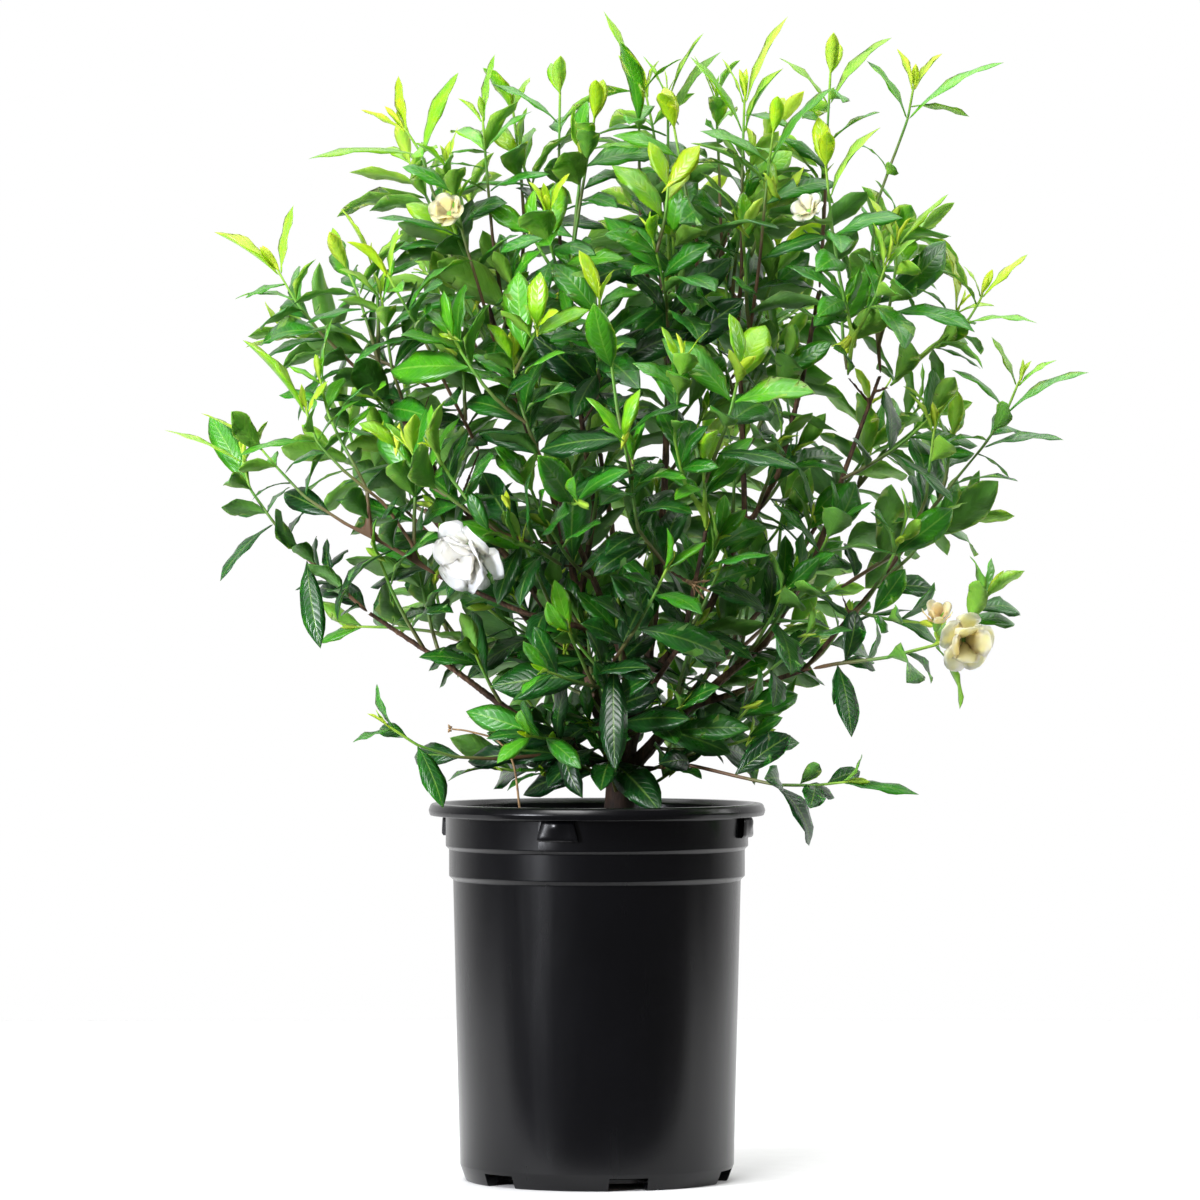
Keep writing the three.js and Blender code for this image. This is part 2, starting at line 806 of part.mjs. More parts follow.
function footOf(shoot, slot, out) {
  const radius = stemRadius(slot.distance / shoot.path.length);
  return slot.place.clone().addScaledVector(out, radius * Math.SQRT1_2);
}

// The way out from the middle of the crown, which the faces of the leaves turn to
const crownOut = (place) => new THREE.Vector3(place.x - CROWN.x, place.y - CROWN.y, 0).normalize();

// The leaves that stand out in the outline reach for their own tips
function placeOutlineLeaves(shoot, random) {
  for (const [pair, x, y, z, width] of shoot.tips) {
    const slot = shoot.slots[Math.min(pair, shoot.slots.length - 1)];
    const i = shoot.slots.indexOf(slot);
    const target = vec([x, y, z]);
    const free = FACES.filter((j) => !shoot.leaves.some((leaf) => leaf.pair === i && leaf.face === j));
    if (!free.length) continue;
    const toward = target.clone().sub(slot.place);
    const gain = (face) => faceOut(slot, face).dot(toward);
    const face = free.reduce((a, b) => (gain(a) >= gain(b) ? a : b));
    const foot = footOf(shoot, slot, faceOut(slot, face));
    const chord = target.clone().sub(foot);
    const direction = chord.clone().normalize();
    const normal = UP.clone().addScaledVector(slot.heading, 0.5);
    normal.add(new THREE.Vector3(random(-0.3, 0.3), -0.5, 0));
    normal.addScaledVector(faceOut(slot, face), -INWARD[i]);
    const bend = OUTLINE_BENDS[Math.min(i, 1)];
    const pose = makePose(foot, direction, normal, chord.length(), width, bend, OUTLINE_FOLD);
    shoot.leaves.push({ pair: i, face, pose });
    takeRoom(leafSpheres(pose));
  }
}

function placeRuleLeaves(shoot, random) {
  shoot.slots.forEach((slot, i) => {
    for (const face of FACES) {
      const grow = random(0.84, 1.14);
      const slim = random(0.32, 0.41);
      const spread = SPREADS[i] + random(-0.14, 0.14);
      const bend = BENDS[i] + random(-0.2, 0.25);
      const turn = random(-0.22, 0.22);
      const roll = random(-0.35, 0.35);
      const fold = random(0.12, 0.38);
      const kept = random(0, 1) < KEPT[i];
      if (!kept || shoot.leaves.some((leaf) => leaf.pair === i && leaf.face === face)) continue;
      const out = faceOut(slot, face);
      const foot = footOf(shoot, slot, out);
      const around = slot.heading.clone().cross(out);
      const length = LENGTHS[i] * grow;
      for (const [turned, lifted, scale] of TRIES) {
        const angle = Math.max(LEAST_SPREAD, spread - lifted);
        const way = out.clone().multiplyScalar(Math.sin(angle));
        way.addScaledVector(slot.heading, Math.cos(angle));
        way.addScaledVector(around, Math.sin(angle) * Math.tan(turn + turned));
        way.z -= DROOPS[i];
        way.normalize();
        const normal = slot.heading.clone().multiplyScalar(0.45).addScaledVector(UP, 0.5);
        normal.addScaledVector(out, -INWARD[i]).addScaledVector(crownOut(foot), OUTWARD[i]);
        const pose = makePose(foot, way, normal, length * scale, length * slim * scale, bend, fold);
        pose.normal.applyAxisAngle(way, roll);
        const spheres = leafSpheres(pose);
        if (isBlocked(spheres, foot)) continue;
        shoot.leaves.push({ pair: i, face, pose });
        takeRoom(spheres);
        break;
      }
    }
  });
}

// One closed body: the stem with its leaves, and the bud at its end
function shootBody(shoot) {
  const body = makeBody();
  const first = shoot.slots[shoot.slots.length - 1];
  const base = alongPath(shoot.path, shoot.on ? 0 : GAP);
  const side = square(first.side, base.heading);
  let previous = addRing(body, base.place, base.heading, side, STEM_RADIUS.base, STEM_SIDES, 0.5);
  addStartCap(body, previous);
  for (let i = shoot.slots.length - 1; i >= 0; i--) {
    const slot = shoot.slots[i];
    const radius = stemRadius(slot.distance / shoot.path.length);
    const at = (offset) => {
      const place = slot.place.clone().addScaledVector(slot.heading, offset);
      return addRing(body, place, slot.heading, slot.side, radius, STEM_SIDES, 0.5);
    };
    const low = at(-SLOT);
    const high = at(SLOT);
    const leaves = shoot.leaves.filter((leaf) => leaf.pair === i);
    addWall(body, previous, matched(body, low, previous.map((v) => vertexOf(body, v))));
    addWall(body, low, high, leaves.map((leaf) => leaf.face));
    for (const { face, pose } of leaves) {
      const next = (face + 1) % STEM_SIDES;
      addLeaf(body, [low[face], low[next], high[next], high[face]], pose);
    }
    previous = high;
  }
  const end = shoot.slots[0];
  addPoint(body, previous, end.place.clone().addScaledVector(end.heading, BUD));
  return body;
}

function geometryOf(body) {
  const geometry = new THREE.BufferGeometry();
  geometry.setAttribute("position", new THREE.Float32BufferAttribute(body.vertices, 3));
  geometry.setIndex(body.triangles);
  return geometry;
}

function solidOf(geometry) {
  const bare = geometry.clone();
  bare.deleteAttribute("normal");
  bare.deleteAttribute("uv");
  const merged = mergeVertices(bare, 1e-3);
  return new wasm.Manifold(
    new wasm.Mesh({
      numProp: 3,
      vertProperties: merged.attributes.position.array,
      triVerts: new Uint32Array(merged.index.array),
    }),
  );
}

function geometryFromSolid(solid) {
  const mesh = solid.getMesh();
  const geometry = new THREE.BufferGeometry();
  geometry.setAttribute("position", new THREE.BufferAttribute(new Float32Array(mesh.vertProperties), 3));
  geometry.setIndex(new THREE.BufferAttribute(new Uint32Array(mesh.triVerts), 1));
  return geometry;
}

// Joins bodies or geometries into one closed body
function join(pieces) {
  const solids = pieces.map((piece) => solidOf(piece.vertices ? geometryOf(piece) : piece));
  return geometryFromSolid(solids.reduce((a, b) => a.add(b)));
}

function standUp(geometry) {
  return geometry.rotateX(Math.PI / 2);
}

function makePot() {
  const profile = [
    [0, 0],
    [HUB_RADIUS, 0],
    [HUB_RADIUS + FLOOR_LIFT, FLOOR_LIFT],
    [FOOT_RADIUS - FOOT_RING - 3, FLOOR_LIFT],
    [FOOT_RADIUS - FOOT_RING, 0],
    [FOOT_RADIUS, 0],
    [BODY_FOOT_RADIUS, BODY_FOOT],
    [BODY_RADIUS, BODY_TOP],
    [BAND_RADIUS, BODY_TOP + 1.5],
    [BAND_RADIUS, COLLAR_FOOT - 1.5],
    [COLLAR_RADIUS, COLLAR_FOOT],
    [COLLAR_RADIUS, POT_HEIGHT - LIP_DEPTH - 1],
    [LIP_RADIUS - 1.5, POT_HEIGHT - LIP_DEPTH],
    [LIP_RADIUS, POT_HEIGHT - LIP_DEPTH / 2],
    [LIP_RADIUS - 1.5, POT_HEIGHT],
    [COLLAR_RADIUS, POT_HEIGHT],
    [COLLAR_RADIUS - WALL, POT_HEIGHT - 2.5],
    [COLLAR_RADIUS - WALL, COLLAR_FOOT + WALL],
    [BAND_RADIUS - WALL, COLLAR_FOOT - 2 * WALL],
    [BODY_RADIUS - WALL, BODY_TOP - 1],
    [BODY_FOOT_RADIUS - WALL, BODY_FOOT],
    [FOOT_RADIUS - WALL, FLOOR_TOP],
    [0, FLOOR_TOP],
  ].map(([r, z]) => new THREE.Vector2(r, z));
  let solid = solidOf(standUp(new THREE.LatheGeometry(profile, POT_SIDES)));
  for (let k = 0; k < NOTCHES; k++) {
    const notch = new THREE.BoxGeometry(NOTCH.width, NOTCH.depth, NOTCH.height + 1);
    notch.translate(0, -NOTCH.radius, (NOTCH.height - 1) / 2);
    notch.rotateZ(THREE.MathUtils.degToRad(NOTCH.start + (k * 360) / NOTCHES));
    solid = solid.subtract(solidOf(notch));
  }
  for (let k = 0; k < LUGS; k++) {
    const lug = new THREE.BoxGeometry(LUG.width, LUG.depth, LUG.height);
    lug.translate(0, -LUG.radius, LUG.foot + LUG.height / 2);
    lug.rotateZ(THREE.MathUtils.degToRad(LUG.start + (k * 360) / LUGS));
    solid = solid.add(solidOf(lug));
  }
  return geometryFromSolid(solid);
}

// The lumps of the bark mix, as a height over its flat top
function lump(x, y) {
  return 2.2 * Math.sin(x / 11 + 0.4) * Math.cos(y / 13) + 1.4 * Math.sin(x / 5.1 - y / 7.3);
}

function makeSoil() {
  const hole = TRUNK_RADIUS + 2 * GAP;
  const profile = [
    [0, FLOOR_TOP + GAP],
    [FOOT_RADIUS - WALL - 2 * GAP, FLOOR_TOP + GAP],
    [BODY_FOOT_RADIUS - WALL - 2 * GAP, BODY_FOOT],
    [BODY_RADIUS - WALL - 2 * GAP, BODY_TOP - 1],
    [BAND_RADIUS - WALL - 2 * GAP, COLLAR_FOOT - 2 * WALL],
    [COLLAR_RADIUS - WALL - 2 * GAP, SOIL_TOP - SOIL_EDGE],
    ...SOIL_RINGS.map((r) => [r, SOIL_TOP]),
    [hole, SOIL_TOP],
    [hole, ROOT_FOOT - GAP],
    [0, ROOT_FOOT - GAP],
  ].map(([r, z]) => new THREE.Vector2(r, z));
  const geometry = standUp(new THREE.LatheGeometry(profile, POT_SIDES));
  geometry.deleteAttribute("normal");
  geometry.deleteAttribute("uv");
  const merged = mergeVertices(geometry, 1e-3);
  const at = merged.attributes.position;
  for (let i = 0; i < at.count; i++) {
    const [x, y] = [at.getX(i), at.getY(i)];
    const r = Math.hypot(x, y);
    if (at.getZ(i) > SOIL_TOP - 0.1 && r > hole + 1) at.setZ(i, SOIL_TOP + lump(x, y));
  }
  // the hole sits round the trunk, a little right of the middle
  for (let i = 0; i < at.count; i++) {
    const r = Math.hypot(at.getX(i), at.getY(i));
    const shift = r < SOIL_RINGS[2] + 1 ? 1 : r < SOIL_RINGS[1] + 1 ? 0.6 : 0;
    if (at.getZ(i) > ROOT_FOOT - 1) at.setX(i, at.getX(i) + shift * TRUNK.points[0][0]);
  }
  return merged;
}

// The trunk and its limbs; each limb starts on whichever of the earlier ones is nearest
const trunkPath = resample(makePath(TRUNK.points.map(vec)), LIMB_STEP / 2);
const woods = [{ path: trunkPath, radii: TRUNK.radii, sides: TRUNK_SIDES }];
LIMBS.forEach(({ points, radii }) => {
  const knots = points.map(vec);
  const found = woods.map(({ path }) => nearestOnPath(path, knots[0])).sort((a, b) => a.gap - b.gap);
  knots[0].copy(found[0].place);
  woods.push({ path: resample(makePath(knots), LIMB_STEP), radii, sides: LIMB_SIDES });
});

// Where on the wood a shoot's twig starts: a little lower than the nearest place
function twigStart(point, among) {
  const found = among.map(({ path }) => ({ path, ...nearestOnPath(path, point) }));
  const { path, distance, gap } = found.sort((a, b) => a.gap - b.gap)[0];
  return { place: alongPath(path, Math.max(0, distance - 0.5 * gap)).place, gap };
}

// The rule for the far side: even steps round the back of the crown and up it
function backShoots() {
  const random = makeRandom(4711);
  const carriers = woods.slice(FRONT_LIMBS + 1);
  const shoots = [];
  for (let k = 0; k < BACK_SHOOTS; k++) {
    const name = "back_" + String(k + 1).padStart(2, "0");
    const aside = Math.PI * (((k * 0.618 + 0.12) % 1) - 0.5) * 0.98;
    const rise = -0.62 + (1.5 * (k + 0.5)) / BACK_SHOOTS;
    const round = Math.sqrt(Math.max(0.05, 1 - Math.min(1, rise * rise)));
    const tip = new THREE.Vector3(
      CROWN.x + CROWN.wide * Math.sin(aside) * round * random(0.9, 1),
      CROWN.y + CROWN.deep * Math.cos(aside) * round * random(0.9, 1),
      CROWN.z + CROWN.tall * rise,
    );
    const { place } = twigStart(tip.clone().lerp(vec([CROWN.x, CROWN.y, tip.z - 90]), 0.5), carriers);
    const way = tip.clone().sub(place);
    const length = Math.min(BACK_REACH, way.length() - 14);
    const start = tip.clone().addScaledVector(way.normalize(), -length);
    start.z -= 6;
    const middle = start.clone().lerp(tip, 0.5);
    middle.z += random(2, 12);
    shoots.push({ name, points: [start, middle, tip].map((p) => p.toArray()), tips: [] });
    const fork = start.clone().lerp(middle, 2 * BACK_FORK);
    const lean = new THREE.Vector3(random(-1, 1), random(-0.2, 0.8), random(0.3, 1)).normalize();
    const end = fork.clone().addScaledVector(lean.add(way).normalize(), random(62, 84));
    const knee = fork.clone().lerp(end, 0.5);
    knee.z += random(2, 8);
    if (k % BACK_FORKED) continue;
    shoots.push({ on: name, points: [fork, knee, end].map((p) => p.toArray()), tips: [] });
  }
  return shoots;
}

// A petal: a closed blade with a blunt end
const PETAL = [
  { at: 0.0, wide: 0.35 },
  { at: 0.62, wide: 1.0 },
  { at: 1.0, wide: 0.5 },
];

function petalBody(pose) {
  const body = makeBody();
  let previous = null;
  for (const { at, wide } of PETAL) {
    const ring = addSection(body, pose, at, wide, PETAL_RIB);
    if (previous) addBladeWall(body, previous, ring);
    else addStartCap(body, ring);
    previous = ring;
  }
  const [r, t, l, b] = previous;
  body.triangles.push(r, t, b, t, l, b);
  return body;
}

// A flower in its own frame: its tube stands on the origin and its petals open along +Z
function bloomGeometry(bloom, random) {
  const tube = new THREE.CylinderGeometry(bloom.radius * 0.24, STALK_RADIUS, TUBE_LENGTH, 6);
  standUp(tube).translate(0, 0, TUBE_LENGTH / 2);
  const heart = new THREE.IcosahedronGeometry(bloom.radius * 0.27, 0).translate(0, 0, TUBE_LENGTH + 1);
  const pieces = [tube, heart];
  bloom.whorls.forEach(([count, long, wide, tilt, bend], w) => {
    for (let k = 0; k < count; k++) {
      const around = (2 * Math.PI * (k + 0.5 * (w % 2) + random(-0.08, 0.08))) / count;
      const out = new THREE.Vector3(Math.cos(around), Math.sin(around), 0);
      const leans = tilt + random(-0.08, 0.08);
      const direction = out.clone().multiplyScalar(Math.sin(leans));
      direction.addScaledVector(UP, Math.cos(leans));
      const normal = UP.clone().multiplyScalar(Math.sin(leans));
      normal.addScaledVector(out, -Math.cos(leans));
      const foot = out.clone().multiplyScalar(1.5 + 0.4 * w);
      foot.z = TUBE_LENGTH - 1 + 1.6 * w;
      const pose = makePose(foot, direction, normal, bloom.radius * long, bloom.radius * wide, bend, 0.2);
      pieces.push(petalBody(pose));
    }
  });
  return join(pieces);
}

const group = new THREE.Group();

function addMesh(name, geometry, color, roughness, parent = group) {
  const material = new THREE.MeshStandardMaterial({ color, roughness, metalness: 0, flatShading: true });
  const mesh = new THREE.Mesh(geometry, material);
  mesh.name = name;
  parent.add(mesh);
  return mesh;
}

addMesh("pot", makePot(), 0x141518, 0.42);
addMesh("soil", makeSoil(), 0x3b2a20, 0.95);

// Every stem takes its room first, then the blooms, then the leaves
const layRandom = makeRandom(1234);
const shoots = [];
for (const shoot of [...SHOOTS, ...backShoots()]) {
  const bearer = shoot.on && shoots.find((other) => other.name === shoot.on);
  shoots.push(layOutShoot(shoot, bearer, layRandom));
}
woods.forEach(({ path, radii }) => {
  takeRoom(pathSpheres(path, (t) => blend(radii[0], radii[1], t)));
});
shoots.forEach((shoot) => takeRoom(pathSpheres(shoot.path, stemRadius)));

const twigs = shoots
  .filter((shoot) => !shoot.on)
  .map((shoot) => {
    const start = alongPath(shoot.path, 0);
    const { place, gap } = twigStart(start.place, woods);
    return { gap, path: pathThrough([place, start.place]), heading: start.heading };
  })
  .filter((twig) => twig.gap > LIMB_END_REACH);
twigs.forEach((twig) => takeRoom(pathSpheres(twig.path, () => TWIG_RADIUS)));

const stalks = BLOOMS.map((bloom) => {
  const owner = shoots.find((shoot) => shoot.name === bloom.on);
  const foot = vec(bloom.foot);
  const face = vec(bloom.face).normalize();
  const near = nearestOnPath(owner.spine, foot);
  const from = alongPath(owner.spine, Math.max(0, near.distance - 0.4 * near.gap)).place;
  const knee = foot.clone().addScaledVector(face, -0.3 * from.distanceTo(foot));
  const middle = foot.clone().addScaledVector(face, TUBE_LENGTH + bloom.radius * 0.3);
  takeRoom([{ at: middle, radius: bloom.radius }]);
  return { bloom, foot, face, path: pathThrough([from, knee, foot]) };
});

const leafRandom = makeRandom(44444);
shoots.forEach((shoot) => placeOutlineLeaves(shoot, leafRandom));
shoots.forEach((shoot) => placeRuleLeaves(shoot, leafRandom));

// a limb's end lies square to the shoot that goes on from it
const wood = woods.map(({ path, radii, sides }) => {
  const end = path.places[path.places.length - 1];
  const next = shoots.find((shoot) => !shoot.on && shoot.path.places[0].distanceTo(end) < LIMB_END_REACH);
  return addTube(makeBody(), path, radii, sides, next && alongPath(next.path, 0).heading);
});
twigs.forEach(({ path, heading }) => {
  wood.push(addTube(makeBody(), path, [TWIG_RADIUS, STEM_RADIUS.base], TWIG_SIDES, heading));
});
addMesh("trunk", join(wood), 0x4a3a2a, 0.85);

shoots
  .filter((shoot) => shoot.name)
  .forEach((shoot, k) => {
    const forks = shoots.filter((other) => other.on === shoot.name);
    const bodies = [shoot, ...forks].map(shootBody);
    const carried = stalks.filter((stalk) => stalk.bloom.on === shoot.name);
    for (const { path, face } of carried) {
      bodies.push(addTube(makeBody(), path, [STALK_RADIUS, STALK_RADIUS], STEM_SIDES, face));
    }
    const geometry = bodies.length > 1 ? join(bodies) : geometryOf(bodies[0]);
    addMesh("branch_" + shoot.name, geometry, LEAF_COLORS[k % LEAF_COLORS.length], 0.45);
  });

const bloomRandom = makeRandom(2468);
stalks.forEach(({ bloom, foot, face }) => {
  const holder = new THREE.Group();
  holder.position.copy(foot).addScaledVector(face, GAP);
  holder.quaternion.setFromUnitVectors(UP, face);
  group.add(holder);
  addMesh(bloom.name, bloomGeometry(bloom, bloomRandom), bloom.color, 0.6, holder);
});

export default group;
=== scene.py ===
import json
import math
import random

import bmesh
import bpy
import numpy as np
from mathutils import Matrix, Vector, noise
from mathutils.bvhtree import BVHTree


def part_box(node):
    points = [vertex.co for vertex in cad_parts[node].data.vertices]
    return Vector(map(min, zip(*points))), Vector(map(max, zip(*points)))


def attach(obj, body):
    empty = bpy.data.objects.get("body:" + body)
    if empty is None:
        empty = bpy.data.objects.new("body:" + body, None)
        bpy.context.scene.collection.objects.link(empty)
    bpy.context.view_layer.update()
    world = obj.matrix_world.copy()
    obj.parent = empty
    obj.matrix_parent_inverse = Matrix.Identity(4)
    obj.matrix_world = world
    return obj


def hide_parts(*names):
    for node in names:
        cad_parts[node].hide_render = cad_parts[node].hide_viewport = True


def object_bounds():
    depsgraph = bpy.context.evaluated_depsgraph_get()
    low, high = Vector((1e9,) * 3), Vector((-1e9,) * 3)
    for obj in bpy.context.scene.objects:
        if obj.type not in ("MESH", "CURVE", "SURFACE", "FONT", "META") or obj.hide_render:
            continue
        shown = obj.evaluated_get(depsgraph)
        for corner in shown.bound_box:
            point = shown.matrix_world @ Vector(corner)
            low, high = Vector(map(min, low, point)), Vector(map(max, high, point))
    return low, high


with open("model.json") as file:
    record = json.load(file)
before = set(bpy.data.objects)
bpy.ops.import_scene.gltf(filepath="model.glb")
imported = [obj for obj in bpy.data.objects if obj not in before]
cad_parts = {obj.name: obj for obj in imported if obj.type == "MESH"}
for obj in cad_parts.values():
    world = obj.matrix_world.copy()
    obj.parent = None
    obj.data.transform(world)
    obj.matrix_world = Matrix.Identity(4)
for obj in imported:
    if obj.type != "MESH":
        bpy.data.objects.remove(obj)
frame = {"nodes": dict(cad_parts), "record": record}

bl_info = {
    "name": "Potted gardenia",
    "version": (1, 0, 0),
    "blender": (4, 5, 0),
    "location": "3D View > Sidebar > Gardenia",
    "description": "Dresses the solids of a potted gardenia with fine leaves, wood, blooms, mix and can",
    "category": "Add Mesh",
}

MM = 0.001
UP = Vector((0, 0, 1))
CAD_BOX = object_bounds()

# The can, in millimetres: its heights, its radii and the thickness of its wall
POT_HEIGHT = (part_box("pot")[1][2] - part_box("pot")[0][2]) / MM
LIP_RADIUS = (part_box("pot")[1][0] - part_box("pot")[0][0]) / 2 / MM
LIP_DEPTH = 9.5
COLLAR_RADIUS = 119
COLLAR_FOOT = 262
BAND_RADIUS = 116.4
BODY_TOP = 237
BODY_RADIUS = 113.2
BODY_FOOT_RADIUS = 107.7
BODY_FOOT = 12.5
FOOT_RADIUS = 103
FOOT_RING = 8
HUB_RADIUS = 26
FLOOR_LIFT = 4
FLOOR_TOP = 7
WALL = 2

# Its profile, up its outside and down its inside: radius, height and how round each corner is
POT_PROFILE = (
    (0, 0, 0),
    (HUB_RADIUS, 0, 1),
    (HUB_RADIUS + 4, FLOOR_LIFT, 1),
    (FOOT_RADIUS - FOOT_RING - 3, FLOOR_LIFT, 1),
    (FOOT_RADIUS - FOOT_RING, 0, 1),
    (FOOT_RADIUS, 0, 2),
    (BODY_FOOT_RADIUS, BODY_FOOT, 4),
    (BODY_RADIUS, BODY_TOP - 1, 2),
    (BAND_RADIUS, BODY_TOP + 2, 1.8),
    (BAND_RADIUS, COLLAR_FOOT - 2, 1.8),
    (COLLAR_RADIUS, COLLAR_FOOT + 0.5, 1.8),
    (COLLAR_RADIUS, POT_HEIGHT - LIP_DEPTH, 1.5),
    (LIP_RADIUS - 1.2, POT_HEIGHT - LIP_DEPTH, 1.2),
    (LIP_RADIUS, POT_HEIGHT - 5.5, 2.5),
    (LIP_RADIUS - 2, POT_HEIGHT, 3),
    (COLLAR_RADIUS + 3, POT_HEIGHT, 3),
    (COLLAR_RADIUS - WALL, POT_HEIGHT - 4, 2),
    (COLLAR_RADIUS - WALL, COLLAR_FOOT + 2, 1),
    (BAND_RADIUS - WALL, COLLAR_FOOT - 4, 1),
    (BODY_RADIUS - WALL, BODY_TOP - 2, 1),
    (BODY_FOOT_RADIUS - WALL, BODY_FOOT, 3),
    (FOOT_RADIUS - WALL, FLOOR_TOP, 1),
    (0, FLOOR_TOP, 0),
)
CORNER_STEPS = 3

# Drain notches through the corner of the foot, and lugs under the lip; the first of each
# stands at an angle in degrees
NOTCH_SIZE = (31, 30, 20)
NOTCH_RADIUS = 96
NOTCH_START = 13.5
LUG_WIDTHS = (33, 25)
LUG_REACH = 4.6
LUG_DOME = 2.6
LUG_FOOT = 270
LUG_HEAD = 286
LUG_CUTS = 11
LUG_START = -14.5
SHARP_ANGLE = 38

# The mix: its top, the gap that it leaves to the can, its lumps and crumbs, and how much lower
# it lies along the wall
SOIL_TOP = 268
SOIL_GAP = 0.6
SOIL_RADIUS = COLLAR_RADIUS - WALL - SOIL_GAP
SOIL_RINGS = 26
SOIL_SPOKES = 72
SOIL_LIFT = 4
LUMP_HEIGHT = 2.2
LUMPS_PER_METRE = 38
CRUMB_HEIGHT = 0.9
CRUMBS_PER_METRE = 190
EDGE_DROP = 3.0
CHIP_SEED = 5

# How far the wood swells at a height, over its thickness there, which is at most this much
WOOD_SWELL = ((310, 345, 400, 700), (0.13, 0.0, -0.16, -0.14))
THICKEST_WOOD = 22
RIDGES_PER_METRE = 260

# How the blades of the solids are cut: the share of their length where each section lies, the
# thickness of their rib and the least width of a blade
BLADE_SECTIONS = {2: (0.36, 0.68), 3: (0.26, 0.52, 0.78)}
RIB = 1.4
RIB_SPARE = 0.06
LEAST_BLADE = 8
WELD = 2e-6

# Leaf forms: share of the length, half width (as a share of the whole) and thickness
LEAF_RINGS = (
    (0.035, 0.085, 1.3),
    (0.13, 0.30, 0.9),
    (0.24, 0.62, 0.6),
    (0.36, 0.84, 0.5),
    (0.48, 0.97, 0.46),
    (0.60, 1.0, 0.44),
    (0.71, 0.92, 0.42),
    (0.81, 0.72, 0.4),
    (0.90, 0.42, 0.36),
    (0.96, 0.17, 0.3),
)
PETAL_RINGS = (
    (0.05, 0.26, 1.0),
    (0.2, 0.50, 0.9),
    (0.36, 0.76, 0.8),
    (0.52, 0.94, 0.7),
    (0.67, 1.0, 0.6),
    (0.80, 0.93, 0.5),
    (0.90, 0.74, 0.45),
    (0.97, 0.42, 0.4),
)
LEAF_ACROSS = (-1, -0.5, 0, 0.5, 1)
RIPPLES = 2.3

# The crown that the added leaves stay in: height and radius, its middle, and its depth over
# its width
CROWN = (
    (290, 120),
    (345, 160),
    (400, 190),
    (470, 235),
    (550, 282),
    (640, 298),
    (720, 275),
    (780, 222),
    (830, 120),
    (870, 20),
)
CROWN_DEPTH = 0.74
CROWN_MIDDLE = (20, 15)

# The crown is airy from this share of its radius outwards, and above this height: some of the
# shoots and leaves that are tried there are left out
AIRY_SHARE = 0.75
AIRY_HEIGHT = 640
AIRY_CHANCE = 0.35
AIRY_SPRIG_CHANCE = 0.4

# Shoots and leaves within this height over the can hang lower than the rest
LOW_CROWN = 130

# Where sprigs grow: the share of all that are tried that wood carries, and of them the chance
# of one below each height
WOOD_CHANCE = 0.66
WOOD_HEIGHTS = ((0.1, 350), (0.36, 430), (WOOD_CHANCE, 1000))
WOOD_FOOT = SOIL_TOP + 25

# Sprigs: their length, their ends' radii and tints, how deep each starts in what carries it
# and their pairs of leaves, as (distance from the tip, leaf length, angle off the stem)
SPRIG_LENGTHS = (42, 92)
SPRIG_STEPS = 6
SPRIG_RADII = (1.7, 1.1)
SPRIG_TINTS = (0.75, 0.15)
SPRIG_SUNK = {"wood": 2.6, "stem": 0.8}
SPRIG_PAIRS = ((1, 38, 0.45), (12, 56, 0.8), (27, 66, 1.0), (46, 68, 1.15), (68, 62, 1.2))
SPRIG_FRESH = {"wood": 0.4, "stem": 1.0}
FEWEST_LEAVES = 3

# Fillers: their length, the share of it that a small one has, and how far from a tip they start
FILLER_LENGTHS = (46, 80)
FILLER_SMALL = 0.72
FILLER_CLEAR = 14
FILLER_TRIES = 3

# Leaf tints run from 0, lime, to 1, deep green: what age adds, what depth under the crown and depth in it
# add as painted shade, the distance from a tip where a leaf counts as old, and the heights of dark and pale
LEAF_TINT = 0.28
AGE_TINT = 0.30
LOW_SHADE = 0.42
INNER_SHADE = 0.2
LEAST_TINT = 0.08
OLD_DISTANCE = 95
TINT_HEIGHTS = (330, 810)
STEM_OLD_DISTANCE = 125

# Blooms: where each tube starts, where the flower faces, the length of its outer petals
# and its whorls as (petals, length, width, lean, bend)
BLOOMS = {
    "bloom_white": {
        "foot": (-88, -142, 498),
        "face": (-0.62, -0.58, -0.5),
        "reach": 32,
        "whorls": (
            (5, 1.0, 1.0, 1.25, 0.6),
            (5, 1.0, 1.0, 0.85, 0.3),
            (4, 0.82, 0.9, 0.42, -0.2),
        ),
        "tint": 0.0,
    },
    "bloom_cream": {
        "foot": (279, -90, 428),
        "face": (0.35, -0.8, -0.3),
        "reach": 25,
        "whorls": ((5, 1.0, 0.95, 1.2, 0.5), (4, 0.85, 0.9, 0.75, 0.1)),
        "tint": 0.44,
    },
    "bloom_withered": {
        "foot": (262, -84, 432),
        "face": (0.1, -0.5, 0.85),
        "reach": 17,
        "whorls": ((5, 1.0, 0.6, 0.7, -0.7), (3, 0.8, 0.55, 0.35, -0.9)),
        "tint": 0.66,
    },
    "bloom_high_right": {
        "foot": (168, -68, 752),
        "face": (-0.4, -0.7, 0.5),
        "reach": 15,
        "whorls": ((6, 1.0, 0.82, 1.0, 0.4), (4, 0.8, 0.75, 0.6, -0.5)),
        "tint": 0.2,
    },
    "bloom_high_left": {
        "foot": (-112, -56, 752),
        "face": (-0.3, -0.8, 0.4),
        "reach": 17,
        "whorls": ((6, 1.0, 0.82, 1.0, 0.4), (4, 0.8, 0.75, 0.6, -0.5)),
        "tint": 0.46,
    },
}
TUBE_LENGTH = 8
TUBE_TINT = 0.3
BLOOM_GAP = 0.3
LOBES = 6
LOBE_LENGTH = 13
LOBE_TINT = 0.35

